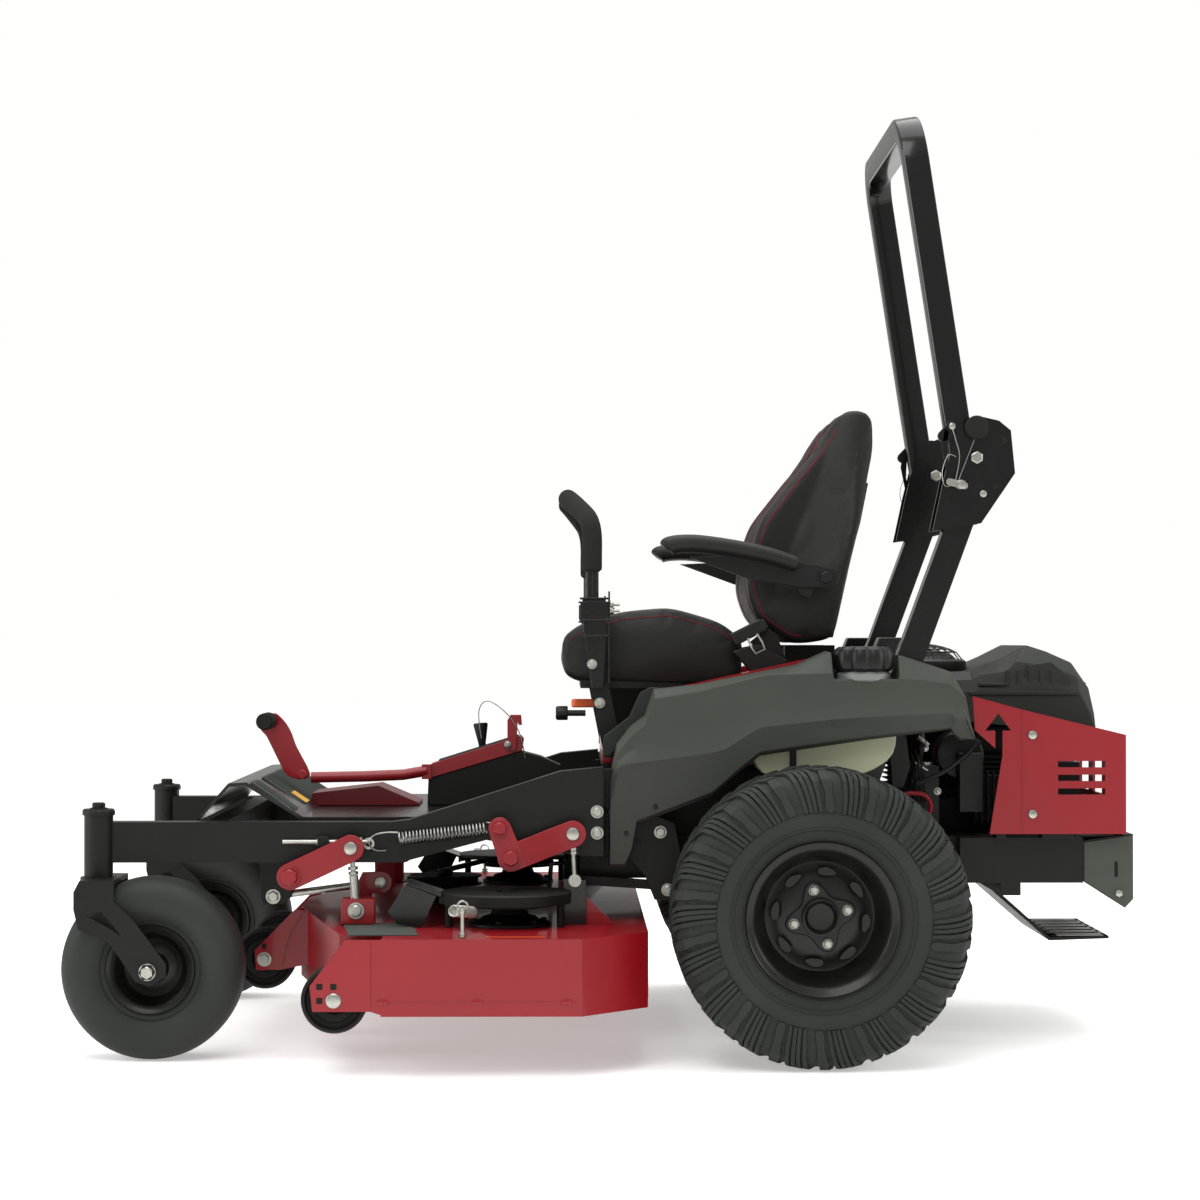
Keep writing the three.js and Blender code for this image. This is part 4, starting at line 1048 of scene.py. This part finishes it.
def roll_bar():
    hoop()
    lugs = Form()
    pivot_x, pivot_z = ROPS_PIVOT
    for name, side in SIDES:
        bolts = Form(side)
        for y, facing in ((352.2, (0, 1, 0)), (287.2, (0, -1, 0))):
            bolts.bolt((pivot_x, y, pivot_z), 25, facing, washer=False).dome((-339, y, 1068), 7, 3, facing)
        bolts.piece(f"roll_bar_bolts_{name}", ZINC, bevel=0.6)
        pin = [(7, 346), (7, 362), (9, 362), (9, 366)]
        pin = Form(side).turned(pin, (-292, 0, 1085), steps=20)
        pin.prism(capsule((-300, 1083), (-272, 1090), 7), 366.2, 370)
        pin.turned([(9, 370), (9, 376), (0, 378)], (-294, 0, 1085), steps=20)
        pin.piece(f"lock_pin_{name}", ZINC, f"rops_pin_{name}", bevel=0.5, hides=[f"rops_pin_{name}"])
        stop = [(22, 353), (23, 356), (23, 366), (20, 369), (0, 370)]
        stop = Form(side).turned(stop, (-325, 0, 1196), steps=40)
        stop.piece(f"roll_bar_stop_{name}", RUBBER)
        lugs.side = side
        lugs.prism(capsule((-262, 1180), (-280, 1199), 11), 346, 352)
        tab = [(-273, 1190), (-264, 1196), (-258, 1160), (-268, 1110), (-276, 1096), (-270, 1140)]
        lugs.prism(tab, 349, 352)
        wires = Form(side).dome((-279, 352.2, 1199), 7, 4)
        for width, route in (
            (1.0, [(-326, 357, 1186), (-318, 360, 1165), (-296, 362, 1110), (-288, 366, 1088)]),
            (1.1, [(-279, 354, 1195), (-284, 360, 1175), (-292, 362, 1140), (-284, 366, 1095)]),
            (0.8, [(-282, 370, 1088), (-264, 366, 1082), (-258, 360, 1108), (-270, 356, 1142),
                   (-286, 354, 1140)]),
        ):
            wires.tube(spline(route, 6), width, 6)
        wires.piece(f"roll_bar_wires_{name}", ZINC)
        collar = Form(side).prism([(-100, 700), (-144, 700), (-182, 790), (-138, 790)], 292, 348)
        collar.piece(f"post_collar_{name}", GLOSS_BLACK, bevel=3)
        # matte dark spots where the post's holes are: painted shade standing in for the holes
        hole_shade = Form(side).dome((-380, 351.6, 1172), 6, 0.8).dome((-362, 351.6, 1082), 6, 0.8)
        hole_shade.piece(f"roll_bar_hole_shade_{name}", FOAM)
    lugs.piece("roll_bar_lugs", GLOSS_BLACK, bevel=1)


# ---- fenders, tank and engine ----
def level(line, x):
    """Height of a line of (x, z) points, front to back, at x."""
    for (x0, z0), (x1, z1) in zip(line, line[1:]):
        if x1 <= x <= x0:
            return z0 + (z1 - z0) * (x0 - x) / max(1e-6, x0 - x1)
    return line[-1][1] if x < line[-1][0] else line[0][1]


FENDER_FRONT = [(385, 520), (372, 585), (345, 620), (318, 640), (301, 691), (216, 700), (27, 738), (-30, 764)]
FENDER_REAR = [(-175, 755), (-266, 725), (-289, 685), (-304, 600)]
CAP_NOTCH = [(-36, 762), (-40, 711), (-160, 709), (-164, 757)]
FENDER_SHOULDER = [(385, 512), (372, 572), (345, 606), (318, 627), (301, 676), (216, 690), (91, 721),
                   (-41, 725), (-214, 711), (-260, 704), (-289, 678), (-304, 600)]
FENDER_BOTTOM = [(385, 354), (350, 354), (335, 436), (192, 490), (140, 536), (102, 566), (-105, 596),
                 (-260, 615), (-272, 594), (-304, 597)]
FENDER_COLUMNS = [385, 379, 372, 358, 345, 335, 318, 301, 260, 216, 192, 165, 140, 102, 91, 60, 27, 0, -30,
                  -36, -40, -80, -105, -135, -160, -164, -175, -214, -240, -260, -266, -278, -289, -304]


def fender_column(x, top, notched):
    """(y, z) points over the fender at x: inner edge, top, shoulder, crease and lower edge."""
    high, low, fold = level(top, x), level(FENDER_BOTTOM, x), level(FENDER_SHOULDER, x)
    edge = min(fold, 711) if notched and -160 <= x <= -40 else fold
    deep = min(1, max(0, (fold - low - 30) / 110))
    crease = min(553 + (331 - x) * 0.1376, fold - 26 * deep - 4)
    crease = max(crease, low + 0.35 * (fold - low))
    scoop = 9 * exp(-((x + 40) / 50) ** 2) + 7 * exp(-((x - 330) / 26) ** 2)
    return [
        (362, high - 8), (372, high), (434, high - 1), (442, high - 4), (466, edge), (468, edge - 3),
        (470 - scoop * 0.3, crease + (fold - crease) * 0.45), (478, crease + 7), (480, crease),
        (477 - scoop * 0.4, crease - 16 * deep), (474, low + 0.45 * (crease - low)), (472, low + 8 * deep),
        (466, low),
    ]


def fender(name, side):
    notched = side > 0
    top = FENDER_FRONT + (CAP_NOTCH if notched else [(-80, 764)]) + FENDER_REAR
    rows = [[(x, y, z) for y, z in fender_column(x, top, notched)] for x in FENDER_COLUMNS]
    # the front and back faces turn in to the chassis
    front, back = ([(x + out, min(y, 362 + 3 * k), z) for k, (x, y, z) in enumerate(row)]
                   for row, out in ((rows[0], 2), (rows[-1], -2)))
    skin = Form(side).skin([front] + rows + [back], around=False, ends=False)
    skin = skin.piece(f"fender_skin_{name}", FENDER, angle=24, hides=[f"fender_{name}"],
                      slot="fender_plastic")
    shell = skin.modifiers.new("thick", "SOLIDIFY")
    shell.thickness = 0.004
    shell.offset = -1
    clips = Form(side).dome((355, 473, 420), 5, 2).dome((300, 473, 470), 5, 2)
    clips.piece(f"fender_clips_{name}", KNOB)
    ledge = Form(side).prism([(318, 640), (385, 560), (398, 560), (396, 600), (330, 650)], 352, 362)
    ledge.prism([(346, 556), (346, 640), (326, 684), (306, 694), (250, 690), (250, 556)], 357, 361.8)
    ledge.piece(f"fender_ledge_{name}", COVER, bevel=2)


def fuel():
    filler = (-100, 420, 0)
    side = [(98, 524), (-102, 527), (-161, 565), (-161, 690), (0, 690), (114, 655), (114, 556)]
    tank = Form().prism([p.xz for p in even_ring(side, 48, 3)], 368, 432)
    tank.turned([(36, 660), (36, 704), (41, 706), (41, 717)], filler, UP, 40)
    tank.piece("fuel_tank_skin", TANK, bevel=8, segments=4, hides=["fuel_tank"], slot="tank_plastic")
    strap = Form().box((30, 43), (432.3, 435), (520, 640))
    strap.piece("tank_strap", KNOB, bevel=0.5)
    neck = Form().turned([(50, 706), (53, 709), (52, 720), (46, 725)], filler, UP)
    neck.piece("filler_ring", PALE, bevel=1)
    rings = []
    for radius, z in ((34, 724), (50, 725), (57, 730), (59, 739), (59, 758), (55, 767), (48, 772), (20, 773)):
        ring = []
        for angle in turns(96):
            scallop = 8 * (1 - (0.5 + 0.5 * cos(9 * angle + 0.6)) ** 0.35) if radius > 46 else 0
            r = radius - scallop
            ring.append((filler[0] + r * cos(angle), filler[1] + r * sin(angle), z))
        rings.append(ring)
    Form().skin(rings).piece("fuel_cap_skin", KNOB, "fuel_cap", bevel=1, angle=25, hides=["fuel_cap"],
                             slot="cap_plastic")


def engine():
    block = Form().box((-520, -205), (-190, 190), (406.4, 470)).box((-560, -500), (-150, 150), (440, 540))
    block.prism(arc(-360, 0, 176, 22.5, 337.5, 7), 470, 560, "z")
    for z in range(480, 556, 10):
        block.prism(arc(-360, 0, 188, 22.5, 337.5, 7), z, z + 3, "z")
    block.turned([(176, 560), (184, 575), (184, 612), (150, 622)], (-360, 0, 0), UP)
    shaft = (-300, 0, 0)
    block.disc(16, 282, 410, shaft, UP)
    pulley = [(16, 282), (55, 282), (55, 285), (46, 290), (46, 298), (55, 303), (55, 306), (16, 306)]
    block.turned(pulley, shaft, UP, 40, closed=True)
    for _, block.side in SIDES:
        block.box((-470, -330), (185, 262), (430, 520))
        for x in range(-468, -334, 12):
            block.box((x, x + 4), (190, 272), (424, 528))
    block.piece("engine_body", CASTING, bevel=2, hides=["engine_block"], slot="engine_black")
    parts = Form()
    filter_can = [(44, 225), (48, 232), (48, 292), (44, 299), (20, 303)]
    parts.turned(filter_can, (-300, 0, 560), steps=40)
    parts.box((-338, -292), (296, 352), (452, 566)).box((-260, -212), (240, 300), (420, 540))
    parts.prism([(-150, 600), (-188, 600), (-196, 540), (-182, 500), (-160, 500), (-158, 540)], 356, 361)
    parts.tube(spline([(-330, 364, 590), (-300, 366, 562), (-262, 362, 532), (-208, 352, 506)], 5), 5.5)
    vent = [(-212, 280, 640), (-222, 310, 600), (-218, 320, 560), (-200, 318, 500), (-190, 300, 440)]
    parts.tube(spline(vent, 6), 8, 12)
    parts.disc(34, -300, -200, (-520, 0, 470), steps=28)
    parts.piece("engine_parts", KNOB, bevel=2)
    hose = [(-176, 352, 482), (-196, 356, 489), (-222, 356, 486), (-236, 354, 470), (-234, 350, 450),
            (-222, 340, 436)]
    Form().tube(spline(hose, 6), 4.5, 12).piece("red_hose", RED_RUBBER)
    wires = Form()
    for k in range(4):
        wire = [(-190 - 9 * k, 340, 560 + 6 * k), (-204 - 5 * k, 346 + 2 * k, 535),
                (-200 - 8 * k, 340, 505), (-210 - 6 * k, 325, 470)]
        wires.tube(spline(wire, 5), 2, 6)
    wires.piece("wiring", CASTING)
    bright = Form().bolt((-256, 301, 490), 11).bolt((-232, 301, 574), 10)
    bright.tube(helix((-216, 322, 596), (-236, 322, 580), 4, 8), 1, 5)
    bright.tube([(-206, 342, 548), (-232, 342, 532)], 2, 6)
    for z in (468, 540):
        bright.turned([(19, z), (21, z), (21, z + 6), (19, z + 6)], (-236, 270, 0), UP, 24, closed=True)
    bright.piece("engine_bolts", ZINC)


HOOD_SECTIONS = (
    # half width, outline from the front foot over the top to the rear foot
    (219, [(-140, 640), (-150, 676), (-330, 682), (-350, 686), (-400, 685), (-440, 694), (-490, 690),
           (-548, 684), (-570, 640), (-581, 600)]),
    (206, [(-140, 650), (-154, 700), (-335, 706), (-352, 716), (-404, 722), (-424, 742), (-490, 734),
           (-545, 712), (-568, 690), (-579, 640)]),
    (168, [(-140, 655), (-156, 718), (-338, 722), (-354, 730), (-400, 750), (-450, 775), (-490, 762),
           (-540, 740), (-562, 700), (-580, 650)]),
)


def hood():
    """Faceted engine hood with raised strips and vents."""
    ribs = [(-wide, line) for wide, line in HOOD_SECTIONS]
    ribs += [(-y, line) for y, line in ribs[::-1]]
    shell = Form().skin([[(x, y, z) for x, z in line] for y, line in ribs], around=False)
    shell.piece("engine_hood", COVER, angle=20, bevel=2.5, hides=["engine_cover"], slot="cover_plastic")
    details = Form()
    for _, details.side in SIDES:
        details.box((-404, -348), (200, 221), (694, 700)).box((-546, -330), (214, 223), (676, 684))
        details.prism([(-430, 686), (-446, 735), (-492, 742), (-530, 712), (-534, 690)], 209, 215)
        for x in range(-500, -411, 22):
            details.box((x, x + 10), (213, 217), (694, 726))
    for y in range(-120, 101, 44):
        details.box((-578, -572), (y, y + 20), (650, 700))
    details.piece("hood_details", COVER, bevel=1.5)


def screen_point(radius, angle):
    """A point of the domed debris screen, whose last ring lies flat on the rim."""
    z = 746 + 31 * (1 - (radius / SCREEN_RADIUS) ** 2) ** 0.6 if radius < SCREEN_RADIUS else 744
    return (SCREEN_X + radius * cos(angle), radius * sin(angle), z)


def debris_screen():
    centre = (SCREEN_X, 0, 0)
    rim = Form().turned([(86, 722), (99, 722), (101, 730), (100, 742), (94, 746), (86, 742)], centre, UP, 56,
                        closed=True)
    rim.turned([(86, 724), (86, 742), (70, 756), (40, 764), (0, 766)], centre, UP, 40)
    rim.piece("screen_rim", KNOB)
    mesh = Form()
    for ring in range(1, 8):
        mesh.tube([screen_point(SCREEN_RADIUS * ring / 7, a) for a in turns(36)], 1.7, 5, closed=True)
    for spoke, angle in enumerate(turns(24)):
        first = 3 if spoke % 2 else 1
        mesh.tube([screen_point(SCREEN_RADIUS * k / 7, angle) for k in range(first, 8)], 1.4, 5)
    mesh.piece("debris_screen", KNOB)


def rear_end():
    dress("engine_guard", RED, 1)
    dress("rear_bumper", FRAME_BLACK, 2)
    for name, side in SIDES:
        bolts = Form(side).dome((-421, 431.2, 604), 9, 5).dome((-421, 431.2, 453), 9, 5)
        bolts.bolt((-590, 405.2, 300), 14).piece(f"guard_bolts_{name}", ZINC)
        fold = Form(side).box((-403, -401), (431, 431.9), (418, 650))
        fold.piece(f"guard_fold_{name}", RED)
        feet = Form(side).box((-372, -352), (380, 425), (406.3, 415))
        feet.box((-500, -440), (380, 425), (406.3, 414)).piece(f"guard_feet_{name}", FRAME_BLACK, bevel=1)
        wing = Form(side).prism([(-524, 397), (-617, 411), (-617, 290), (-601, 274), (-524, 324)], 405.3, 407)
        wing.piece(f"bumper_wing_{name}", WING, bevel=0.6)
        # a dark strip where the wing's slot is: painted shade standing in for the slot
        slit_shade = Form(side).prism(capsule((-585, 334), (-585, 358), 3.4), 406.6, 407.4)
        slit_shade.piece(f"bumper_slit_shade_{name}", FOAM)
    step = Form()
    for x in ((-610, -601), (-509, -498)):
        step.box(x, (-179, 179), (196.2, 197.4))
    for y in ((-179, -134), (-106, -74), (-46, -14), (14, 46), (74, 106), (134, 179)):
        step.box((-610, -498), y, (196.2, 197.4))
    step.piece("step_plate", STEEL, bevel=0.3)
    plate = Form().box((-619.5, -618.2), (-120, 120), (322, 380))
    plate.piece("bumper_plate", FRAME_BLACK, bevel=0.5)
    for name, side in SIDES:
        lens = Form().turned([(16, 0), (16, 2), (12, 3), (0, 3.5)], (-618.2, side * 330, 370), (-1, 0, 0), 32)
        lens.piece(f"reflector_{name}", RED_RUBBER)


# ---- stage ----
def lamp(name, place, target, size, power, height=None):
    light = bpy.data.lights.new(name, "AREA")
    light.energy = power
    light.size = size
    if height:
        light.shape = "RECTANGLE"
        light.size_y = height
    made = bpy.data.objects.new(name, light)
    made.location = place
    made.rotation_euler = (Vector(target) - Vector(place)).to_track_quat("-Z", "Y").to_euler()
    bpy.context.collection.objects.link(made)


def studio_sky():
    """Soft light that grows with height; the camera itself sees a plain pale backdrop."""
    world = bpy.data.worlds.new("studio")
    world.use_nodes = True
    tree = world.node_tree
    sky = tree.nodes["Background"]
    sky.inputs["Color"].default_value = DAYLIGHT
    place = shader_node(tree, "TexCoord")
    split = shader_node(tree, "SeparateXYZ")
    height = shader_node(tree, "MapRange", From_Min=0.0, From_Max=0.9, To_Min=SKY_LOW, To_Max=SKY_HIGH)
    backdrop = shader_node(tree, "Background", Color=DAYLIGHT)
    path = shader_node(tree, "LightPath")
    both = shader_node(tree, "MixShader")
    for source, target in (
        (place.outputs["Generated"], split.inputs["Vector"]),
        (split.outputs["Z"], height.inputs["Value"]),
        (height.outputs["Result"], sky.inputs["Strength"]),
        (path.outputs["Is Camera Ray"], both.inputs["Fac"]),
        (sky.outputs["Background"], both.inputs[1]),
        (backdrop.outputs["Background"], both.inputs[2]),
        (both.outputs["Shader"], tree.nodes["World Output"].inputs["Surface"]),
    ):
        tree.links.new(source, target)
    return world


def stage():
    scene = bpy.context.scene
    scene.view_settings.view_transform = "Standard"
    scene.world = studio_sky()
    floor = bpy.data.meshes.new("floor")
    floor.from_pydata([(-30, -30, 0), (30, -30, 0), (30, 30, 0), (-30, 30, 0)], [], [(0, 1, 2, 3)])
    ground = bpy.data.objects.new("floor", floor)
    ground.location = (0, 0, -0.0005)
    bpy.context.collection.objects.link(ground)
    white = finish("studio_floor", (0.88, 0.88, 0.87, 1), 0.9, specular=0.1, mottle=(1, 0.0), grain=(50, 0.0))
    glow = white.node_tree.nodes["Principled BSDF"]
    glow.inputs["Emission Color"].default_value = DAYLIGHT
    glow.inputs["Emission Strength"].default_value = FLOOR_GLOW
    floor.materials.append(white)
    lamp("key", at(1200, 3600, 4200), at(300, 0, 500), 2.6, 90)
    lamp("top", at(200, -400, 4800), at(200, 0, 0), 4.5, 160)
    lamp("front", at(4600, 1200, 1800), at(300, 0, 500), 1.6, 60, 2.4)
    lamp("back", at(-4200, 1400, 2200), at(0, 0, 700), 1.6, 60, 2.4)
    eye = bpy.data.cameras.new("camera")
    eye.lens = LENS
    eye.sensor_width = 36
    made = bpy.data.objects.new("camera", eye)
    made.location = at(*EYE)
    made.rotation_euler = AIM.to_track_quat("-Z", "Y").to_euler()
    bpy.context.collection.objects.link(made)
    scene.camera = made


stage()
for label, way in SIDES:
    drive_tyre(label, way)
    drive_rim(label, way)
    caster(label, way)
    fender(label, way)
chassis()
footwell()
height_control()
deck()
lift()
for label, way in SIDES:
    lever(label, way)
seat_controls()
seat()
roll_bar()
fuel()
engine()
hood()
debris_screen()
rear_end()
